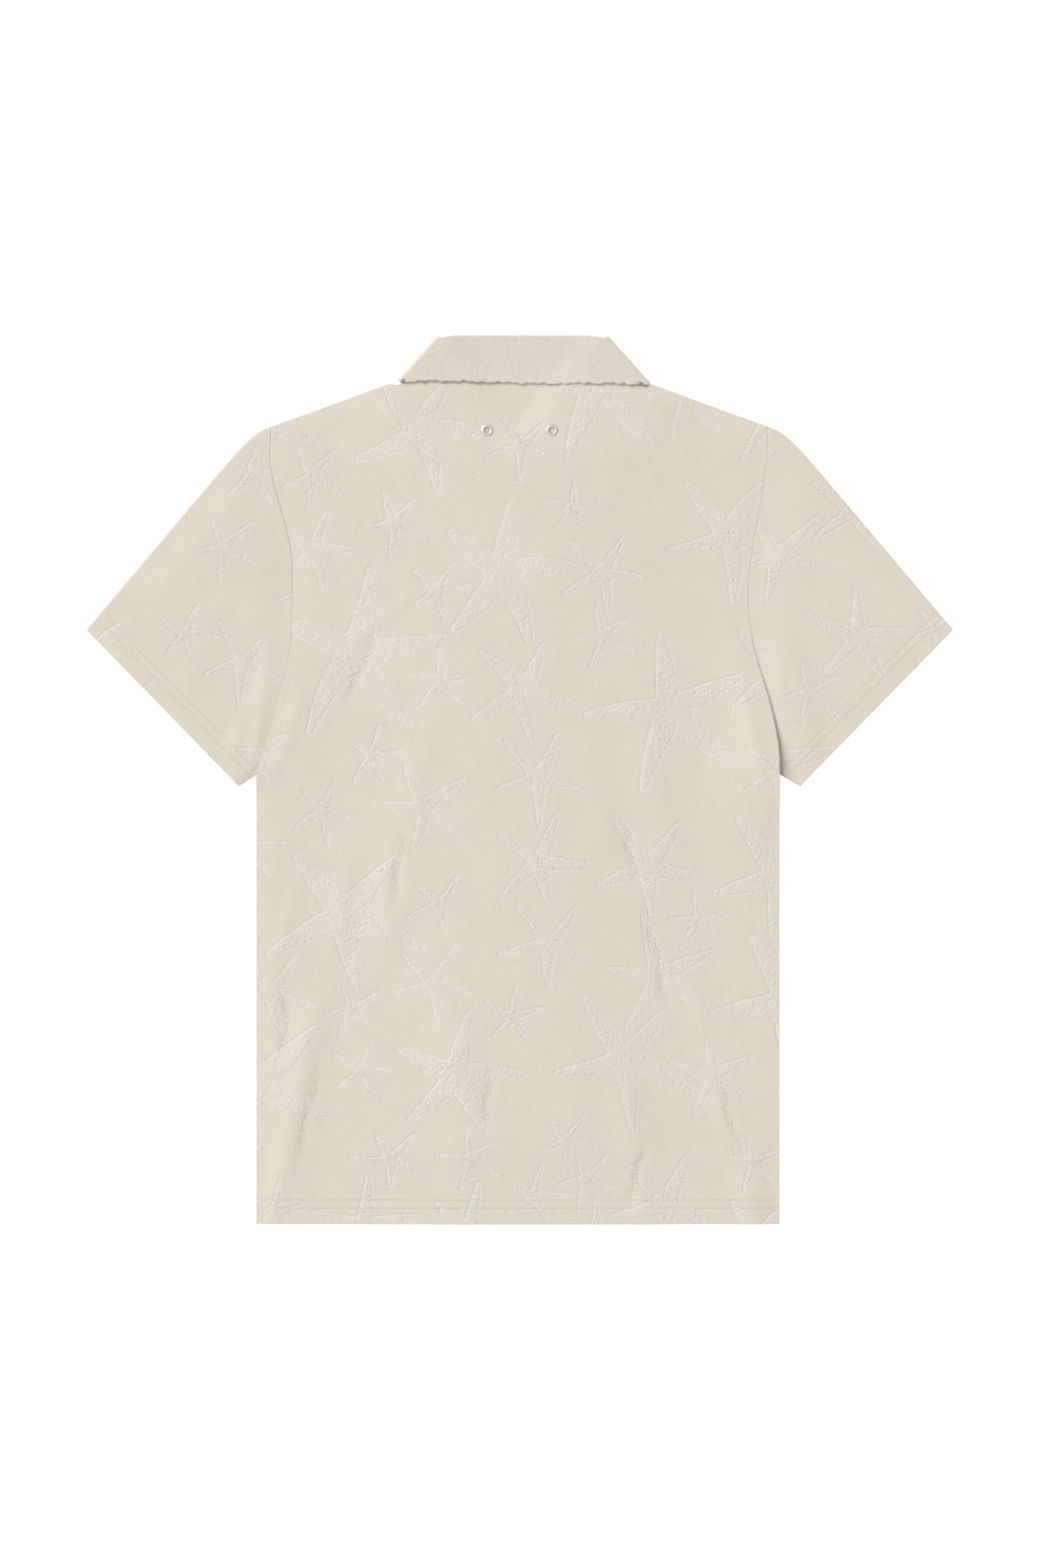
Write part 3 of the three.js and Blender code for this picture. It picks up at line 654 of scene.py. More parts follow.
def sleeve_skin(vs, us, angles, wall, side):
    """Points round the sleeve: along its upper layer, round the shoulder fold, back along its lower
    layer and round the underarm fold. Gives points, distance to the cuff edge and to the armhole."""
    v = vs[:, None]
    low, _ = sleeve_point(np.zeros_like(v), v, side)
    high, _ = sleeve_point(np.ones_like(v), v, side)
    across = (high - low) / np.linalg.norm(high - low, axis=-1, keepdims=True)
    inset = SLEEVE_HALF / lerp(ARMHOLE_RUN, CUFF_WIDTH, v)

    def layer(u, z, sway=0.0):
        point, run = sleeve_point(lerp(inset, 1 - inset, u), v, side)
        point = point - stacked(sway + 0 * point[..., 0], 0 * point[..., 0])
        return np.dstack([point, z + 0 * run]), (1 - v) * run, v * run

    def end(u, out):
        centre, run = sleeve_point(lerp(inset, 1 - inset, u), v, side)
        reach = (SLEEVE_HALF - wall) * np.sin(angles)[None, :]
        z = SLEEVE_HALF + (SLEEVE_HALF - wall) * np.cos(angles)[None, :] + 0 * v
        spread = centre + across * (out * reach)[..., None]
        return np.dstack([spread, z]), (1 - v) * run + 0 * reach, v * run + 0 * reach

    u = us[None, :]
    _, run = sleeve_point(lerp(inset, 1 - inset, u), v, side)
    from_seam = v * run
    root_y = armhole_point(us, side)[None, :, 1]
    share = window(root_y, *TUCK_ROWS)
    tuck = TUCK_DEPTH * share * (1 - v) ** 8 if side > 0 else 0 * v
    puff = SLEEVE_PUFF * window(u, *PUFF_PLACE) * ease(*PUFF_RUN, v) * (1 - 0.6 * v)
    puff = puff + seam_rise(u, from_seam, root_y, side)
    upper = layer(u, 2 * SLEEVE_HALF - wall + puff, tuck)
    shoulder = end(np.ones((1, 1)), 1)
    lower = layer(u[:, ::-1], wall)
    angles = angles[::-1]
    underarm = end(np.zeros((1, 1)), -1)
    return [np.concatenate(parts, axis=1) for parts in zip(upper, shoulder, lower, underarm)]


def make_sleeve(side):
    """A sleeve: a flattened tube, open at the armhole and the cuff."""
    vs = spaced((0.012, 0.003), (0.9, 0.0115), (0.992, 0.0057), (1.0, 0.002))
    us = np.linspace(0, 1, 33 * WEAVE_STEP)
    angles = np.linspace(0, math.pi, 2 * WEAVE_STEP + 2)[1:-1]
    points, to_cuff, to_armhole = sleeve_skin(vs, us, angles, 0.0, side)
    inner, _, _ = sleeve_skin(vs[::WEAVE_STEP], us, angles, CLOTH, side)
    inner = inner[:, ::WEAVE_STEP]
    x, y, z = (points[..., axis] for axis in range(3))
    on_top = ease(SLEEVE_HALF - 0.5, SLEEVE_HALF + 1.6, z)
    fold_line = CUFF_TOP - (SHOULDER_X, SHOULDER_Y)
    fold_line = fold_line / np.linalg.norm(fold_line)
    offset = (x - CUFF_TOP[0]) * -fold_line[1] + (y - CUFF_TOP[1]) * fold_line[0]
    along = (x - CUFF_TOP[0]) * fold_line[0] + (y - CUFF_TOP[1]) * fold_line[1]
    lower = z < SLEEVE_HALF
    unrolled = stacked(along * side, np.where(lower, -offset, offset), 0 * x)
    layout = star_layout(*SLEEVE_PLOT, 55 + side)
    star, star_place = star_field(unrolled[..., 0], unrolled[..., 1], layout)
    edge = np.minimum(to_cuff, to_armhole)
    calm = on_top * ease(*CUFF_CALM, edge)
    rippled = SLEEVE_RIPPLE[0] * ripples(x * side, y, SLEEVE_RIPPLE[1], 9)
    height = (fold_sum(SLEEVE_FOLDS[side], x * side, y) + rippled) * calm
    height += star_relief(star) * on_top * ease(0, 3, edge) + hem_relief(to_cuff) * on_top
    lowered = np.maximum(rolled(to_armhole, seam_round(y, side)), rolled(to_cuff, EDGE_ROUND))
    height += lowered * (1 - 2 * on_top)
    outer = stacked(x * side, y, z + height)
    inner = inner * (side, 1, 1)
    name = f"sleeve_cloth_{SIDE_NAMES[side]}"
    piece = cloth_wall(name, outer, inner, around=True)
    write_pattern(
        piece, x.shape, star_edge=star, star_place=star_place, hem_depth=to_cuff,
        cloth_place=(unrolled + (0, 0, 700 * side)) * MM, recess=recess_depth(to_armhole, y, side),
    )
    upper = outer[:, : us.size]
    return piece, [along_cuff(upper, vs, to_cuff[0, : us.size], row) for row in HEM_ROWS]


def along_cuff(upper, vs, runs, row):
    """Points on a sleeve's upper layer at one distance from the cuff: between the two grid rows that
    lie on either side of it."""
    place = np.interp(1 - row / runs, vs, np.arange(vs.size))
    below = np.floor(place).astype(int)
    columns = np.arange(runs.size)
    return lerp(upper[below, columns], upper[below + 1, columns], (place - below)[:, None])


def unit(way):
    """A direction at length 1."""
    return way / np.linalg.norm(way, axis=-1, keepdims=True)


# The side corners of the collar's fold and leaf, drawn in by the depth that the ring takes as it turns.
SIDE_RUN = unit(LEAF_CORNER - COLLAR_TOP)
DRAWN_IN = np.array([SIDE_RUN[1], -SIDE_RUN[0]]) * RING_DEPTH
FOLD_SIDE, LEAF_SIDE = COLLAR_TOP + DRAWN_IN, LEAF_CORNER + DRAWN_IN


def collar_stations():
    """Plan points of fold, neck seam and leaf edge round the right half, from the centre back over the
    side to the centre front, with the turn from 0 on the back to 1 on the front."""
    back = np.linspace(0, 1, 24 * WEAVE_STEP + 1)[:, None]
    front = np.linspace(1, 0, 16 * WEAVE_STEP + 1)[:, None]
    turned = np.linspace(0, 1, 3 * WEAVE_STEP + 1)[1:-1, None]

    def joined(on_back, on_front):
        return np.concatenate([on_back, lerp(on_back[-1], on_front[0], turned), on_front])

    def clear(x):
        return np.maximum(x, COLLAR_END_X)

    fold = joined(
        np.hstack([FOLD_SIDE[0] * back, lerp(COLLAR_TOP[1], FOLD_SIDE[1], back**8)]),
        np.hstack([clear(FOLD_SIDE[0] * front), lerp(FRONT_FOLD_Y, FOLD_SIDE[1], front**2)]),
    )
    seam = joined(
        np.hstack([NECK_X * back, top_edge(NECK_X * back, BACK_NECK_Y)]),
        np.hstack([clear(NECK_X * front), top_edge(NECK_X * front, FRONT_NECK_Y)]),
    )
    leaf = joined(
        np.hstack([LEAF_SIDE[0] * back, lerp(LEAF_BACK_Y, LEAF_SIDE[1], back**6)]),
        lerp(LEAF_POINT, LEAF_SIDE, front),
    )
    turn = np.concatenate([0 * back[:, 0], turned[:, 0], 0 * front[:, 0] + 1])
    return fold, seam, leaf, turn


def collar_skin(bend, stations, shares, side):
    """The collar on one side of the shirt: a hairpin section carried round the neck. bend is the radius
    of the skin at the fold. The section runs up the stand, round a half circle and down the leaf, and
    the stations turn it about the fold from above to below."""
    fold, seam, leaf, turn = (part[:, None] for part in stations)
    stand_shares, angles, leaf_shares = shares
    outer_bend = LAYER - SEAM_GAP / 2
    mix = np.concatenate([0 * stand_shares, (angles + math.pi / 2) / math.pi, 0 * leaf_shares + 1])
    share = np.concatenate([stand_shares, 0 * angles, leaf_shares])
    angle = np.concatenate([0 * stand_shares - math.pi / 2, angles, 0 * leaf_shares + math.pi / 2])
    start = outer_bend - bend * np.cos(angle)
    depth = LAYER + bend * np.sin(angle)
    stand_length = np.linalg.norm(seam - fold, axis=-1) - 1.3 * SEAM_GAP
    leaf_length = np.linalg.norm(leaf - fold, axis=-1)
    down = lerp(unit(seam - fold), unit(leaf - fold), mix[:, None])
    on_leaf = mix > 0.5
    reach = np.where(on_leaf, leaf_length, stand_length)
    distance = lerp(start, reach, share)
    sway = depth * np.sin(math.pi * turn)
    x = fold[..., 0] + down[..., 0] * distance - down[..., 1] * sway
    y = fold[..., 1] + down[..., 1] * distance + down[..., 0] * sway
    z = RING_DEPTH + depth * np.cos(math.pi * turn)
    on_back = 1 - ease(0, 0.35, turn)
    z = z - neck_sag(x, y) * (turn == 0) + LEAF_CURL * on_back * on_leaf * share**4
    stand_lift = front_height(x * side, y, side) - LAYER
    z = z + np.where((turn == 1) & ~on_leaf, stand_lift, 0)
    return x, y, z, share * on_leaf + 0 * x, distance * np.where(on_leaf, 1, -1)


def collar_sway(x, y):
    """The collar lies a little to the right, more so at its leaf, tilts down on that side, and its fold
    is a little higher at the sides than in the middle."""
    low = ease(COLLAR_TOP[1], LEAF_BACK_Y, y)
    return (
        x * lerp(*COLLAR_STRETCH, low) + lerp(*COLLAR_SHIFT, low),
        y - x * lerp(*COLLAR_TILT, low) + lerp(*COLLAR_CORNERS, low) * (x / COLLAR_TOP[0]) ** 2,
    )


def make_collar():
    """The collar: stand and leaf in one folded strip, in looped terry with a ragged free edge."""
    stations = collar_stations()
    stand = 1 - spaced((0.86, 0.09), (0.94, 0.02))
    angles = np.linspace(-math.pi / 2, math.pi / 2, 3 * WEAVE_STEP)
    leaf = spaced((0.06, 0.015), (0.95, 0.037), (1.0, 0.0125))[1:]
    shares = (stand, angles, leaf)
    halves = []
    for side in (-1, 1):
        outer = collar_skin(LAYER - SEAM_GAP / 2, stations, shares, side)
        inner = collar_skin(SEAM_GAP / 2, stations, shares, side)
        halves.append((outer, inner))

    def whole(index):
        """Both halves as one run of stations, from the left end at the centre front to the right."""
        left, right = ([np.array(part) for part in half[index]] for half in halves)
        left[0] = -left[0]
        return [np.concatenate([a[:0:-1], b]) for a, b in zip(left, right)]

    x, y, z, down_leaf, across = whole(0)
    inner_x, inner_y, inner_z, _, _ = whole(1)
    middle = stacked(x[:, 0], y[:, 0])
    run = np.concatenate([[0], np.cumsum(np.linalg.norm(np.diff(middle, axis=0), axis=-1) + 0.4)])
    run = run[:, None] + 0 * x
    x, y = collar_sway(x, y)
    inner_x, inner_y = collar_sway(inner_x, inner_y)
    above = ease(4, 6.5, z)
    tufts = TUFT_REACH * ripples(run, 0 * run, 2.9, 3) + TUFT_SWAY * ripples(run, 0 * run, 9.5, 5)
    ragged = tufts * ease(0.86, 1, down_leaf)
    belly = LEAF_BELLY * bell(x - 22, 46) * ease(0.6, 1, down_leaf)
    y = y - (ragged + belly) * above
    (fine, short), (broad, long) = COLLAR_LOOPS
    loops = fine * ripples(run, across, short, 13) + broad * ripples(run, across, long, 14)
    z = z + (loops - rolled((1 - down_leaf) * LEAF_LENGTH, LEAF_ROUND)) * above * ease(0, 0.1, down_leaf)
    inner = stacked(inner_x[COARSE], inner_y[COARSE], inner_z[COARSE])
    piece = cloth_wall("collar_cloth", stacked(x, y, z), inner)
    write_pattern(piece, x.shape, cloth_place=stacked(run, across, 0 * run) * MM)
    return piece


def turned_solid(name, profile, segments, place=(0, 0, 0), slope=(0, 0)):
    """A profile of radius and height turned about +Z and sheared to lie on sloping cloth. A profile that
    starts and ends on the axis is closed there, and any other closes on itself."""
    profile = np.asarray(profile, float)
    on_axis = profile[0, 0] == 0 and profile[-1, 0] == 0
    ring = profile[1:-1] if on_axis else profile
    angles = np.linspace(0, 2 * math.pi, segments, endpoint=False)
    radius, height = ring[:, :1], ring[:, 1:]
    points = stacked(radius * np.cos(angles), radius * np.sin(angles), height + 0 * angles).reshape(-1, 3)
    index = np.arange(len(points)).reshape(len(ring), segments)
    closed = index if on_axis else np.concatenate([index, index[:1]])
    faces = quads(ringed(closed)).tolist()
    if on_axis:
        points = np.concatenate([points, [[0, 0, profile[0, 1]], [0, 0, profile[-1, 1]]]])
        first, last = len(points) - 2, len(points) - 1
        faces += [[index[0, (k + 1) % segments], index[0, k], first] for k in range(segments)]
        faces += [[index[-1, k], index[-1, (k + 1) % segments], last] for k in range(segments)]
    points[:, 2] += points[:, 0] * slope[0] + points[:, 1] * slope[1]
    return put_mesh(name, points + place, faces)


def surface_slope(height, x, y, reach=5.0):
    """Rise per millimetre of a height function in x and y."""
    across = (height(x + reach, y) - height(x - reach, y)) / (2 * reach)
    return float(across), float((height(x, y + reach) - height(x, y - reach)) / (2 * reach))


def at_eyelet(side, stem, profile, segments):
    """A turned solid at one of the eyelets, which counts its height from just below the cloth's top."""
    x = side * EYELET_X
    top = float(back_height(x, EYELET_Y)) + CLOTH - EYELET_SINK
    slope = surface_slope(back_height, x, EYELET_Y)
    return turned_solid(f"{stem}_{SIDE_NAMES[side]}", profile, segments, (x, EYELET_Y, top), slope)


def make_eyelet(side):
    """A rolled metal ring above the cloth, a barrel through it and a flat ring below it."""
    bead, middle = (EYELET_RADIUS - EYELET_HOLE) / 2, (EYELET_RADIUS + EYELET_HOLE) / 2
    angles = np.linspace(0, math.pi, 11)
    crown = stacked(middle - bead * np.cos(angles), CROWN_BASE + CROWN_RISE * np.sin(angles))
    below = -CLOTH - FLANGE
    rest = [[EYELET_RADIUS - 0.1, 0.1], [BARREL_RADIUS, 0.1], [BARREL_RADIUS, below], [FLANGE_RADIUS, below],
            [FLANGE_RADIUS - 0.1, below - FLANGE], [EYELET_HOLE, below - FLANGE]]
    return at_eyelet(side, "eyelet_ring", np.concatenate([crown, rest]), 48)


def make_backing(side):
    """The round of cloth that shows inside an eyelet: a low dome just clear of the barrel."""
    reach = EYELET_HOLE - 0.1
    profile = [[0, -0.6], [reach, -0.6], [reach, -0.3], [0.6 * reach, -0.05], [0, 0]]
    return at_eyelet(side, "eyelet_backing", profile, 24)


def cut(piece, cutters):
    """Takes the cutters out of the piece, and removes them."""
    for cutter in cutters:
        hole = piece.modifiers.new("hole", "BOOLEAN")
        hole.operation, hole.solver, hole.object = "DIFFERENCE", "EXACT", cutter
    shaped = bpy.data.meshes.new_from_object(piece.evaluated_get(bpy.context.evaluated_depsgraph_get()))
    piece.modifiers.clear()
    plain, piece.data = piece.data, shaped
    bpy.data.meshes.remove(plain)
    for cutter in cutters:
        bpy.data.meshes.remove(cutter.data)


def punch_back(piece):
    """Opens the back's cloth under each eyelet."""
    radius = BARREL_RADIUS + SEAM_GAP
    punch = [[0, -8], [radius, -8], [radius, 8], [0, 8]]
    places = [(x, EYELET_Y, float(back_height(x, EYELET_Y))) for x in (-EYELET_X, EYELET_X)]
    cut(piece, [turned_solid("punch", punch, 24, place) for place in places])


def make_button(number, y):
    """A four-hole button lying face down: a rounded rim round a shallow dish."""
    angles = np.linspace(-0.5 * math.pi, 0.5 * math.pi, 9)
    edge = BUTTON_THICK / 2
    rim = stacked(BUTTON_RADIUS - edge + edge * np.cos(angles), edge + edge * np.sin(angles))
    dish, back = [[0, 0.75], [2.9, 0.7], [3.7, 0.35], [4.2, 0.05]], [[3.0, 1.95], [0, 1.95]]
    profile = np.concatenate([dish, rim, back])
    button = turned_solid(f"button_disc_{number}", profile, 40, (0, y, 0))
    drill = [[0, -1], [HOLE_RADIUS, -1], [HOLE_RADIUS, 4], [0, 4]]
    places = [(HOLE_APART * sx, y + HOLE_APART * sy, 0) for sx in (-1, 1) for sy in (-1, 1)]
    cut(button, [turned_solid("drill", drill, 12, place) for place in places])
    return button


def put_tubes(name, points):
    """One mesh of closed tubes, from their points by tube, ring and place on the ring."""
    index = np.arange(points.size // 3).reshape(points.shape[:3])
    faces = quads(ringed(index)).tolist() + index[:, 0, ::-1].tolist() + index[:, -1].tolist()
    return put_mesh(name, points, faces)


def stitch_run(name, path, normal, size):
    """A row of stitches along a path: each is a bead of five rings of six points, thickest in its
    middle, laid along the path and half sunk in the cloth. The size is length, gap and radius."""
    length, gap, radius = size
    path, normal = np.asarray(path, float), np.asarray(normal, float)
    steps = np.concatenate([[0], np.cumsum(np.linalg.norm(np.diff(path, axis=0), axis=-1))])
    centres = np.arange(length, steps[-1] - length, length + gap)
    swell = np.array([0.25, 0.85, 1.0, 0.85, 0.25])
    offsets = np.array([-0.5, -0.3, 0, 0.3, 0.5]) * length
    at = centres[:, None] + offsets[None, :]
    middle = stacked(*(np.interp(at, steps, column) for column in path.T))
    up = unit(stacked(*(np.interp(at, steps, column) for column in normal.T)))
    along = unit(np.broadcast_to((middle[:, -1] - middle[:, 0])[:, None], middle.shape))
    across = np.cross(along, up)
    turn = np.linspace(0, 2 * math.pi, 6, endpoint=False)
    spread = across[..., None, :] * np.cos(turn)[:, None] + up[..., None, :] * np.sin(turn)[:, None]
    dip = -0.5 * radius * (2 * np.abs(offsets) / length) ** 2
    core = (middle + up * dip[:, None])[..., None, :]
    return put_tubes(name, core + spread * (radius * swell)[:, None, None])


def make_stitches(cuff_rows):
    """Sewing that shows: two rows above the back's hem and on each cuff, and the half-moon seam."""
    runs = [(f"cuff_stitches_{number}", path + (0, 0, 0.1)) for number, path in enumerate(cuff_rows, start=1)]
    up = np.array([0.0, 0.0, 1.0])
    for number, row in enumerate(HEM_ROWS, start=1):
        x = np.linspace(-HEM_REACH, HEM_REACH, 300)
        y = row + 0 * x
        z = back_height(x, y) + CLOTH + hem_relief(y) + fold_sum(CREASES, x, y) * ease(*HEM_CALM, y) + 0.2
        runs.append((f"hem_stitches_{number}", stacked(x, y, z)))
    x = np.linspace(-MOON_REACH, MOON_REACH, 260)
    y = moon_height(x)
    path = stacked(x, y, back_height(x, y) + CLOTH - 0.1 + fold_sum(CREASES, x, y))
    runs.append(("moon_stitches", path))
    return [stitch_run(name, path, up + 0 * path, SEWN_STITCH) for name, path in runs]


def make_buttonhole(number, y):
    """A buttonhole on the lap's outer face: short satin stitches round a narrow upright oval."""
    turn = np.linspace(0, 2 * math.pi, 80)
    x = BUTTONHOLE_HALF_WIDTH * np.cos(turn)
    rise = np.abs(np.sin(turn)) ** 0.5 * np.sign(np.sin(turn))
    along = y + BUTTONHOLE_LENGTH / 2 * rise
    z = front_height(x, along, -1)
    down = np.array([0.0, 0.0, -1.0])
    path = stacked(x, along, z)
    return stitch_run(f"buttonhole_{number}", path, down + 0 * path, SATIN_STITCH)


def make_button_threads():
    """The thread on each button: two bars from hole to hole, each a bent tube of six sides."""
    t = np.linspace(0, 1, 9)
    sag = np.sqrt(np.sin(math.pi * t))
    turn = np.linspace(0, 2 * math.pi, 6, endpoint=False)
    bars = [(y, row) for y in BUTTON_YS for row in (-HOLE_APART, HOLE_APART)]
    points = np.zeros((len(bars), t.size, turn.size, 3))
    points[..., 0] = lerp(-HOLE_APART, HOLE_APART, t)[None, :, None]
    points[..., 1] = np.array([y + row for y, row in bars])[:, None, None] + THREAD_RADIUS * np.cos(turn)
    points[..., 2] = (1.6 - 1.1 * sag)[None, :, None] + THREAD_RADIUS * np.sin(turn)
    return put_tubes("button_threads", points)


class Wire:
    """The output of a node. A sum, difference or product with it adds a Math node that takes it in."""

    def __init__(self, socket):
        self.socket, self.tree = socket, socket.id_data

    def __add__(self, other):
        return maths("ADD", self, other)

    def __sub__(self, other):
        return maths("SUBTRACT", self, other)

    def __mul__(self, other):
        return maths("MULTIPLY", self, other)

    def __abs__(self):
        return maths("ABSOLUTE", self)


def feed(slot, value):
    """Links a wire to an input, or sets the input to a plain value."""
    if isinstance(value, Wire):
        value.tree.links.new(value.socket, slot)
    else:
        slot.default_value = value


def add_node(tree, kind, inputs=None, **settings):
    """A node with its settings, and with wires or plain values on its inputs."""
    made = tree.nodes.new("ShaderNode" + kind)
    for label, value in settings.items():
        setattr(made, label, value)
    for label, value in (inputs or {}).items():
        feed(made.inputs[label], value)
    return made


def maths(operation, *values, clamp=False):
    """A Math node on wires and numbers; gives its output."""
    tree = next(value.tree for value in values if isinstance(value, Wire))
    made = add_node(tree, "Math", dict(enumerate(values)), operation=operation, use_clamp=clamp)
    return Wire(made.outputs[0])


def stepped(value, low, high):
    """A smooth mask: 0 at low and 1 at high, or falling where low is the larger."""
    falling = low > high
    inputs = {"Value": value, "From Min": min(low, high), "From Max": max(low, high)}
    inputs |= {"To Min": float(falling), "To Max": float(not falling)}
    return Wire(add_node(value.tree, "MapRange", inputs, interpolation_type="SMOOTHSTEP").outputs["Result"])


def noise(place, scale, detail=2.0, roughness=0.6, stretch=None):
    """Noise about a middle of 0.5, on a place that may first be stretched along its axes."""
    if stretch:
        place = Wire(add_node(place.tree, "Mapping", {"Vector": place, "Scale": stretch}).outputs["Vector"])
    inputs = {"Vector": place, "Scale": scale, "Detail": detail, "Roughness": roughness}
    return Wire(add_node(place.tree, "TexNoise", inputs).outputs["Fac"])


def attribute(tree, name, output="Fac"):
    """What write_pattern stored on the mesh: a distance, or with the output Vector a place."""
    return Wire(add_node(tree, "Attribute", attribute_name=name).outputs[output])


def object_place(tree):
    """The place in the piece's own coordinates."""
    return Wire(add_node(tree, "TexCoord").outputs["Object"])


def new_group(name, inputs, outputs):
    """An empty node group with named number sockets: the group, its input wires and its output slots."""
    group = bpy.data.node_groups.new(name, "ShaderNodeTree")
    for label, value in inputs.items():
        socket = group.interface.new_socket(label, in_out="INPUT", socket_type="NodeSocketFloat")
        socket.default_value = value
    for label in outputs:
        group.interface.new_socket(label, in_out="OUTPUT", socket_type="NodeSocketFloat")
    sockets = group.nodes.new("NodeGroupInput").outputs
    return group, {label: Wire(sockets[label]) for label in inputs}, group.nodes.new("NodeGroupOutput").inputs


def nap_group():
    """Pile: fine fibres, clumps of loops and faint lengthwise wales, with a slow change of tone."""
    group, given, out = new_group("terry_nap", {"Loop size": 1.0, "Wales": 1.0}, ("Height", "Tone"))
    place = attribute(group, "cloth_place", "Vector")
    shrink = maths("DIVIDE", 1.0, given["Loop size"])
    near = Wire(add_node(group, "VectorMath", {0: place, "Scale": shrink}, operation="SCALE").outputs[0])
    pile = noise(near, 950, 3.0) * 0.5 + noise(near, 330, roughness=0.55) * 0.5
    wales = noise(place, 100, roughness=0.5, stretch=(7.5, 0.55, 1)) * given["Wales"]
    patches = noise(place, 42, 3.0, 0.55)
    clouds = noise(place, 11, 1.0, 0.5)
    feed(out["Height"], pile + wales * 0.3)
    feed(out["Tone"], pile * 0.52 + wales * 0.24 + (patches * 0.19 + clouds * 0.10))
    return group


def star_group():
    """The woven stars: a low, pale, wavering line along each outline, and low rings like plates inside.
    The lines are worn away in patches, so that some stars stay faint."""
    group, given, out = new_group("woven_stars", {"Plate size": 9.0}, ("Line", "Body", "Height"))
    cloth_place = attribute(group, "cloth_place", "Vector")
    waver = noise(cloth_place, 300) - 0.5
    edge = attribute(group, "star_edge") + waver * 3.0
    outline = stepped(edge, 0.7, 0.0) * stepped(edge, -2.5, -1.0)
    body = stepped(edge, 0.2, -0.8)
    star_place = attribute(group, "star_place", "Vector")
    inputs = {"Vector": star_place, "Scale": given["Plate size"], "Randomness": 0.6}
    reach = Wire(add_node(group, "TexVoronoi", inputs).outputs["Distance"]) + waver * 0.22
    parting = stepped(reach, 0.24, 0.34) * stepped(reach, 0.52, 0.42) * body
    crown = stepped(reach, 0.5, 0.1) * body
    worn = stepped(noise(cloth_place, 26, 3.0), 0.34, 0.62)
    rough = stepped(noise(cloth_place, 620), 0.42, 0.58)
    faint = stepped(noise(cloth_place, 9, 1.0, 0.5), 0.3, 0.62)
    kept = ((worn * 0.4 + rough * 0.6) * 0.9 + 0.14) * (faint * 0.5 + 0.5)
    line = maths("MULTIPLY", maths("MAXIMUM", outline, parting * 0.9), kept, clamp=True)
    feed(out["Line"], line)
    feed(out["Body"], body)
    feed(out["Height"], line * -0.9 + crown * 0.35)
    return group


def mixed_colour(share, first, second):
    """A blend of two colours, each a wire or a plain colour, by a wire."""
    colours = [value if isinstance(value, Wire) else (*value, 1) for value in (first, second)]
    inputs = {"Factor": share, 6: colours[0], 7: colours[1]}
    return Wire(add_node(share.tree, "Mix", inputs, data_type="RGBA").outputs[2])


def new_material(name, **sockets):
    """A material with its Principled shader and plain values on the shader's own sockets."""
    material = bpy.data.materials.new(name)
    material.use_nodes = True
    tree = material.node_tree
    shader = next(n for n in tree.nodes if n.type == "BSDF_PRINCIPLED")
    for label, value in sockets.items():
        shader.inputs[label.replace("_", " ")].default_value = value
    return material, tree, shader


def pucker_group():
    """Puckered troughs: a fine wandering line down the middle, and small blisters on both sides. The cloth's
    material lowers this mask by bump and darkens its colour with it as painted shade.
    """
    group, given, out = new_group("puckers", {"Wander": 4.0}, ("Line",))
    parts = add_node(group, "SeparateXYZ", {0: attribute(group, "pucker_place", "Vector")}).outputs
    across, strength = Wire(parts["X"]), Wire(parts["Y"])
    cloth_place = attribute(group, "cloth_place", "Vector")
    off = abs(across + (noise(cloth_place, 210) - 0.5) * given["Wander"])
    broken = stepped(noise(cloth_place, 90), 0.36, 0.56)
    line = stepped(off, 1.2, 0.2) * (broken * 0.7)
    inputs = {"Vector": cloth_place, "Scale": 190, "Randomness": 0.8}
    blisters = Wire(add_node(group, "TexVoronoi", inputs, feature="DISTANCE_TO_EDGE").outputs["Distance"])
    rims = stepped(blisters, 0.13, 0.0) * stepped(off, 5.5, 1.0)
    feed(out["Line"], maths("MAXIMUM", line, rims) * strength)
    return group


def place_group(tree, group, **values):
    """A node group at work in a material: its output wires by name."""
    inputs = {label.replace("_", " "): value for label, value in values.items()}
    made = add_node(tree, "Group", inputs, node_tree=group)
    return {socket.name: Wire(socket) for socket in made.outputs}


def bumped(shader, height, distance):
    """Turns the shader's normal by a height in units of the distance."""
    made = add_node(height.tree, "Bump", {"Height": height, "Distance": distance, "Strength": 1.0})
    feed(shader.inputs["Normal"], Wire(made.outputs["Normal"]))


def stitch_groove(tree):
    """The mask of every stitched line: two rows along a hem or cuff, and the half-moon. The cloth's material
    lowers it by bump and darkens its colour with it as painted shade.
    """
    depth = attribute(tree, "hem_depth")
    hems = maths("MINIMUM", abs(depth - HEM_ROWS[0]), abs(depth - HEM_ROWS[1]))
    return stepped(maths("MINIMUM", hems, abs(attribute(tree, "moon_line"))), 1.5, 0.3)


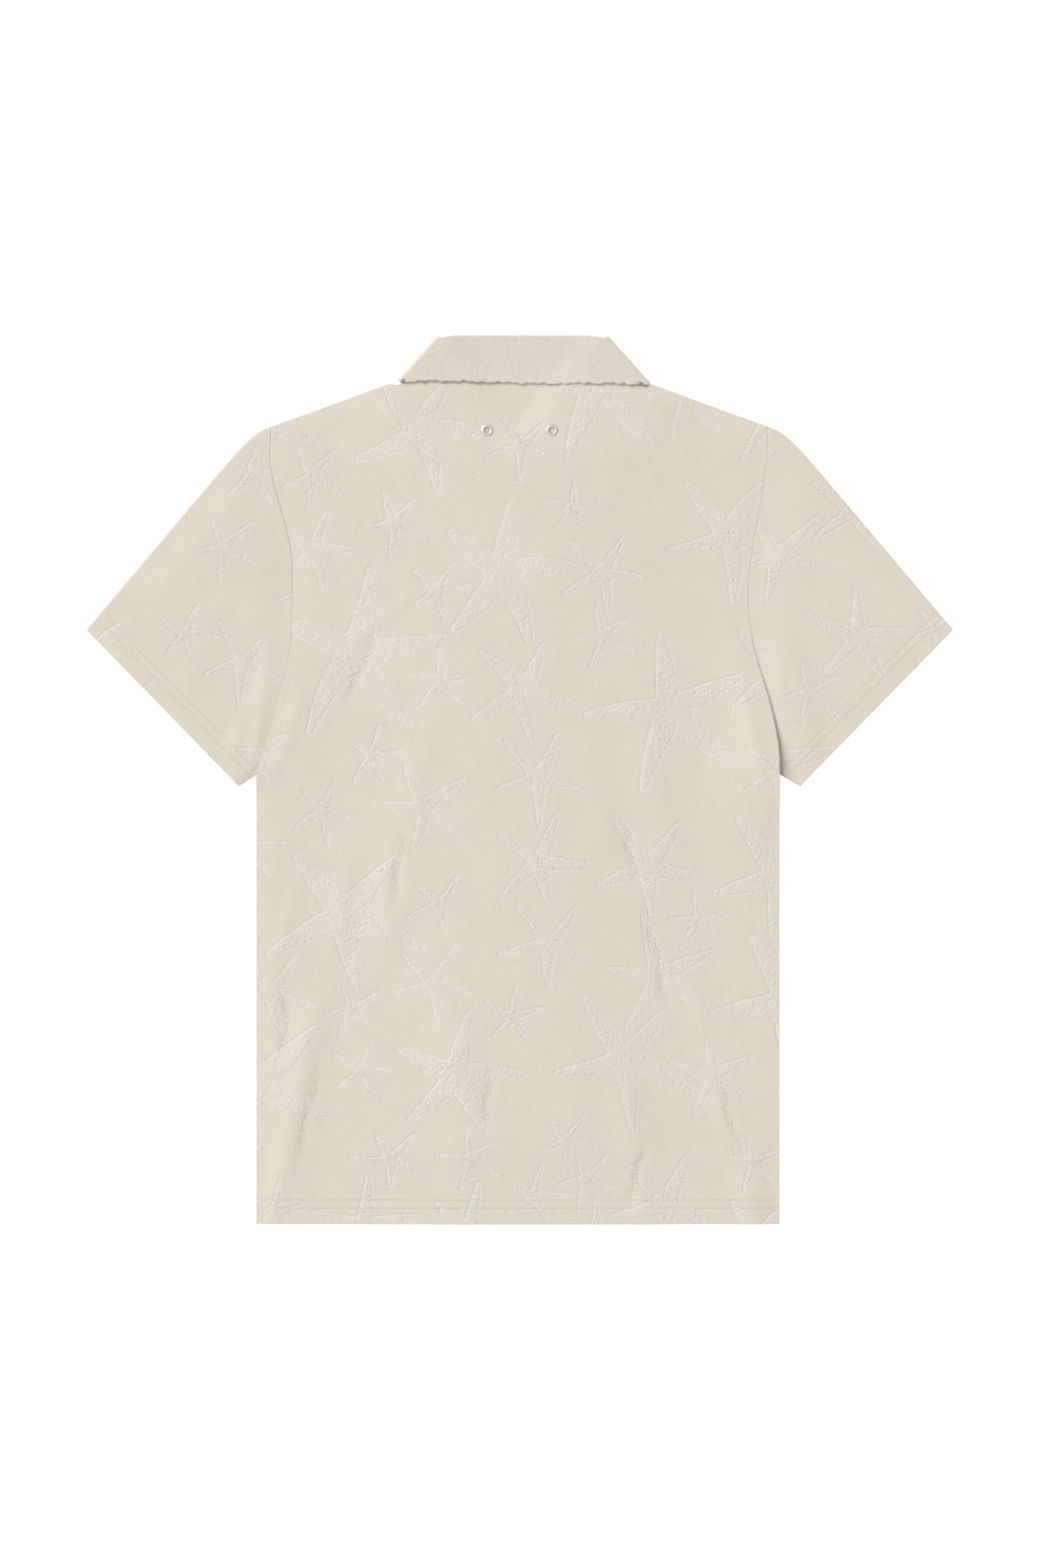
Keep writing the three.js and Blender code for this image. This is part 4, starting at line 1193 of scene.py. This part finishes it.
def cloth_material(nap, stars, puckers):
    """Cream velour terry with tonal woven stars. Its colour also holds painted shade in the stitched grooves,
    the puckered troughs and the right armhole's recess, and a painted highlight beside the half-moon seam.
    """
    material, tree, shader = new_material(
        "star_terry", Roughness=0.96, Sheen_Weight=0.12, Sheen_Roughness=0.5, Specular_IOR_Level=0.2
    )
    pile = place_group(tree, nap, Loop_size=1.0, Wales=1.0)
    star = place_group(tree, stars, Plate_size=9.0)
    pucker = place_group(tree, puckers, Wander=6.0)["Line"]
    groove = stitch_groove(tree)
    # Painted highlight: a lighter band along one side of the half-moon seam, where a lit ridge would be.
    moon_ridge_highlight = stepped(abs(attribute(tree, "moon_line") - 1.1), 1.4, 0.4)
    recess = stepped(attribute(tree, "recess"), 10.0, 0.0)
    colour = mixed_colour(stepped(pile["Tone"], 0.37, 0.69), GROUND_DARK, GROUND_LIGHT)
    pale = maths("ADD", star["Line"], star["Body"] * 0.10, clamp=True)
    # The stars' pale lines are woven; the other mixes are painted shade in the stitched grooves, puckered
    # troughs and right armhole's recess, and a painted highlight beside the half-moon seam.
    for share, tint in (
        (pale, LINE_COLOUR), (groove * 0.12, GROOVE_SHADE_COLOUR), (moon_ridge_highlight * 0.30, LINE_COLOUR),
        (pucker * 0.15, PUCKER_SHADE_COLOUR), (recess * 0.75, RECESS_SHADOW_COLOUR),
    ):
        colour = mixed_colour(share, colour, tint)
    feed(shader.inputs["Base Color"], colour)
    bumped(shader, pile["Height"] * 0.55 + star["Height"] - groove * 0.2 - pucker * 0.6, 0.0005)
    return material


def collar_material(nap):
    """The same cream cotton with its loops uncut: coarser and more mottled."""
    material, tree, shader = new_material(
        "loop_terry", Roughness=0.97, Sheen_Weight=0.1, Sheen_Roughness=0.5, Specular_IOR_Level=0.2
    )
    pile = place_group(tree, nap, Loop_size=1.9, Wales=0.3)
    tone = stepped(pile["Tone"], 0.32, 0.65)
    feed(shader.inputs["Base Color"], mixed_colour(tone, COLLAR_DARK, COLLAR_LIGHT))
    bumped(shader, pile["Height"], 0.0006)
    return material


def thread_material():
    """Sewing thread: two twisted plies show as slanting bands."""
    material, tree, shader = new_material("thread", Roughness=0.7, Specular_IOR_Level=0.3)
    inputs = {"Vector": object_place(tree), "Scale": 520, "Distortion": 1.5}
    plies = Wire(add_node(tree, "TexWave", inputs, bands_direction="DIAGONAL").outputs["Fac"])
    feed(shader.inputs["Base Color"], mixed_colour(plies, THREAD_DARK, THREAD_LIGHT))
    bumped(shader, plies, 0.0001)
    return material


def metal_material():
    """Bright pressed metal with faint handling marks."""
    material, tree, shader = new_material("eyelet_metal", Metallic=1.0)
    marks = noise(object_place(tree), 900, 4.0)
    feed(shader.inputs["Base Color"], mixed_colour(marks, METAL_DARK, METAL_LIGHT))
    made = add_node(tree, "MapRange", {"Value": marks, "To Min": 0.42, "To Max": 0.60})
    feed(shader.inputs["Roughness"], Wire(made.outputs["Result"]))
    return material


def button_material():
    """Cream resin with soft pearly clouds."""
    material, tree, shader = new_material("button_resin", Roughness=0.3, Coat_Weight=0.3)
    clouds = noise(object_place(tree), 160, 3.0)
    feed(shader.inputs["Base Color"], mixed_colour(clouds, RESIN_DARK, RESIN_LIGHT))
    return material


# Linear colours: the cloth's darker and lighter tones and its woven lines (also the painted highlight beside
# the half-moon seam), the painted shade of its stitched grooves, puckered troughs and armhole recess, its
# sewing, and the fittings.
GROUND_DARK = (0.678, 0.612, 0.519)
GROUND_LIGHT = (0.726, 0.679, 0.583)
LINE_COLOUR = (0.788, 0.762, 0.704)
GROOVE_SHADE_COLOUR = (0.640, 0.585, 0.500)
PUCKER_SHADE_COLOUR = (0.500, 0.450, 0.375)
RECESS_SHADOW_COLOUR = (0.520, 0.420, 0.340)
COLLAR_DARK = (0.660, 0.613, 0.533)
COLLAR_LIGHT = (0.742, 0.700, 0.622)
THREAD_DARK = (0.660, 0.612, 0.535)
THREAD_LIGHT = (0.745, 0.700, 0.618)
METAL_DARK = (0.66, 0.645, 0.62)
METAL_LIGHT = (0.82, 0.81, 0.785)
RESIN_DARK = (0.66, 0.60, 0.49)
RESIN_LIGHT = (0.82, 0.78, 0.69)

# The picture that the camera frames, and the lights: a broad low key from the upper left, and a fill.
PICTURE_HEIGHT, MM_PER_PIXEL = 1800, 0.775
CAMERA_LENS, CAMERA_SENSOR = 90, 36
CAMERA_X, CAMERA_Y = 2.7, -3.9
LIGHTS = {
    "key_light": {"elevation": 36, "bearing": 145, "spread": 30, "strength": 2.1},
    "fill_light": {"elevation": 60, "bearing": -60, "spread": 60, "strength": 0.35},
}
SURROUND = 0.56
FLOOR_SPAN, FLOOR_DEPTH = 20.0, 0.0004


def look_from_above():
    """The camera: straight down from far away, so that the frame spans 1395 mm by 930 mm."""
    camera = bpy.data.objects.new("camera", bpy.data.cameras.new("camera"))
    camera.data.lens = CAMERA_LENS
    camera.data.sensor_width = CAMERA_SENSOR
    camera.data.clip_end = 50
    distance = PICTURE_HEIGHT * MM_PER_PIXEL * MM * CAMERA_LENS / CAMERA_SENSOR
    camera.location = (CAMERA_X * MM, CAMERA_Y * MM, distance)
    bpy.context.scene.collection.objects.link(camera)
    bpy.context.scene.camera = camera


def studio():
    """A bright floor, an even surround, and the two lights."""
    scene = bpy.context.scene
    scene.view_settings.view_transform = "Standard"
    world = bpy.data.worlds.new("studio")
    world.use_nodes = True
    background = world.node_tree.nodes["Background"]
    background.inputs["Color"].default_value = (1, 1, 1, 1)
    background.inputs["Strength"].default_value = SURROUND
    scene.world = world
    for name, light in LIGHTS.items():
        lamp = bpy.data.lights.new(name, "SUN")
        lamp.energy, lamp.angle = light["strength"], math.radians(light["spread"])
        placed = bpy.data.objects.new(name, lamp)
        placed.rotation_euler = (0, math.radians(90 - light["elevation"]), math.radians(light["bearing"]))
        scene.collection.objects.link(placed)
    floor_mesh = bpy.data.meshes.new("floor")
    signs = ((-1, -1), (1, -1), (1, 1), (-1, 1))
    corners = [(FLOOR_SPAN * x, FLOOR_SPAN * y, -FLOOR_DEPTH) for x, y in signs]
    floor_mesh.from_pydata(corners, [], [(0, 1, 2, 3)])
    floor = bpy.data.objects.new("floor", floor_mesh)
    scene.collection.objects.link(floor)
    material, _, shader = new_material("floor_white", Base_Color=(0.9, 0.9, 0.9, 1), Roughness=0.9)
    shader.inputs["Emission Color"].default_value = (1, 1, 1, 1)
    shader.inputs["Emission Strength"].default_value = 0.8
    floor.data.materials.append(material)


def finish_piece(piece, material, slot, *nodes):
    """Gives a piece its material and its body, and hides the solids of the nodes that it stands for. The slot
    is not used.
    """
    piece.data.materials.clear()
    piece.data.materials.append(material)
    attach(piece, "root")
    if nodes:
        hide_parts(*nodes)


look_from_above()
studio()

nap = nap_group()
stars = star_group()
cloth = cloth_material(nap, stars, pucker_group())
terry = collar_material(nap)
thread = thread_material()
metal = metal_material()
resin = button_material()

back = make_back()
punch_back(back)
finish_piece(back, cloth, "terry_cloth", "back")

cuff_rows = []
for side, name in SIDE_NAMES.items():
    front = make_front(side)
    finish_piece(front, cloth, "terry_cloth", f"front_{name}")
    sleeve, rows = make_sleeve(side)
    cuff_rows += rows
    finish_piece(sleeve, cloth, "terry_cloth", f"sleeve_{name}")
    finish_piece(make_eyelet(side), metal, "eyelet", f"eyelet_{name}")
    finish_piece(make_backing(side), thread, "terry_cloth")

collar = make_collar()
finish_piece(collar, terry, "collar_cloth", "collar")

for number, y in enumerate(BUTTON_YS, start=1):
    finish_piece(make_button(number, y), resin, "button", f"button_{number}")
    finish_piece(make_buttonhole(number, y), thread, "terry_cloth")

finish_piece(make_button_threads(), thread, "terry_cloth")
for run in make_stitches(cuff_rows):
    finish_piece(run, thread, "terry_cloth")
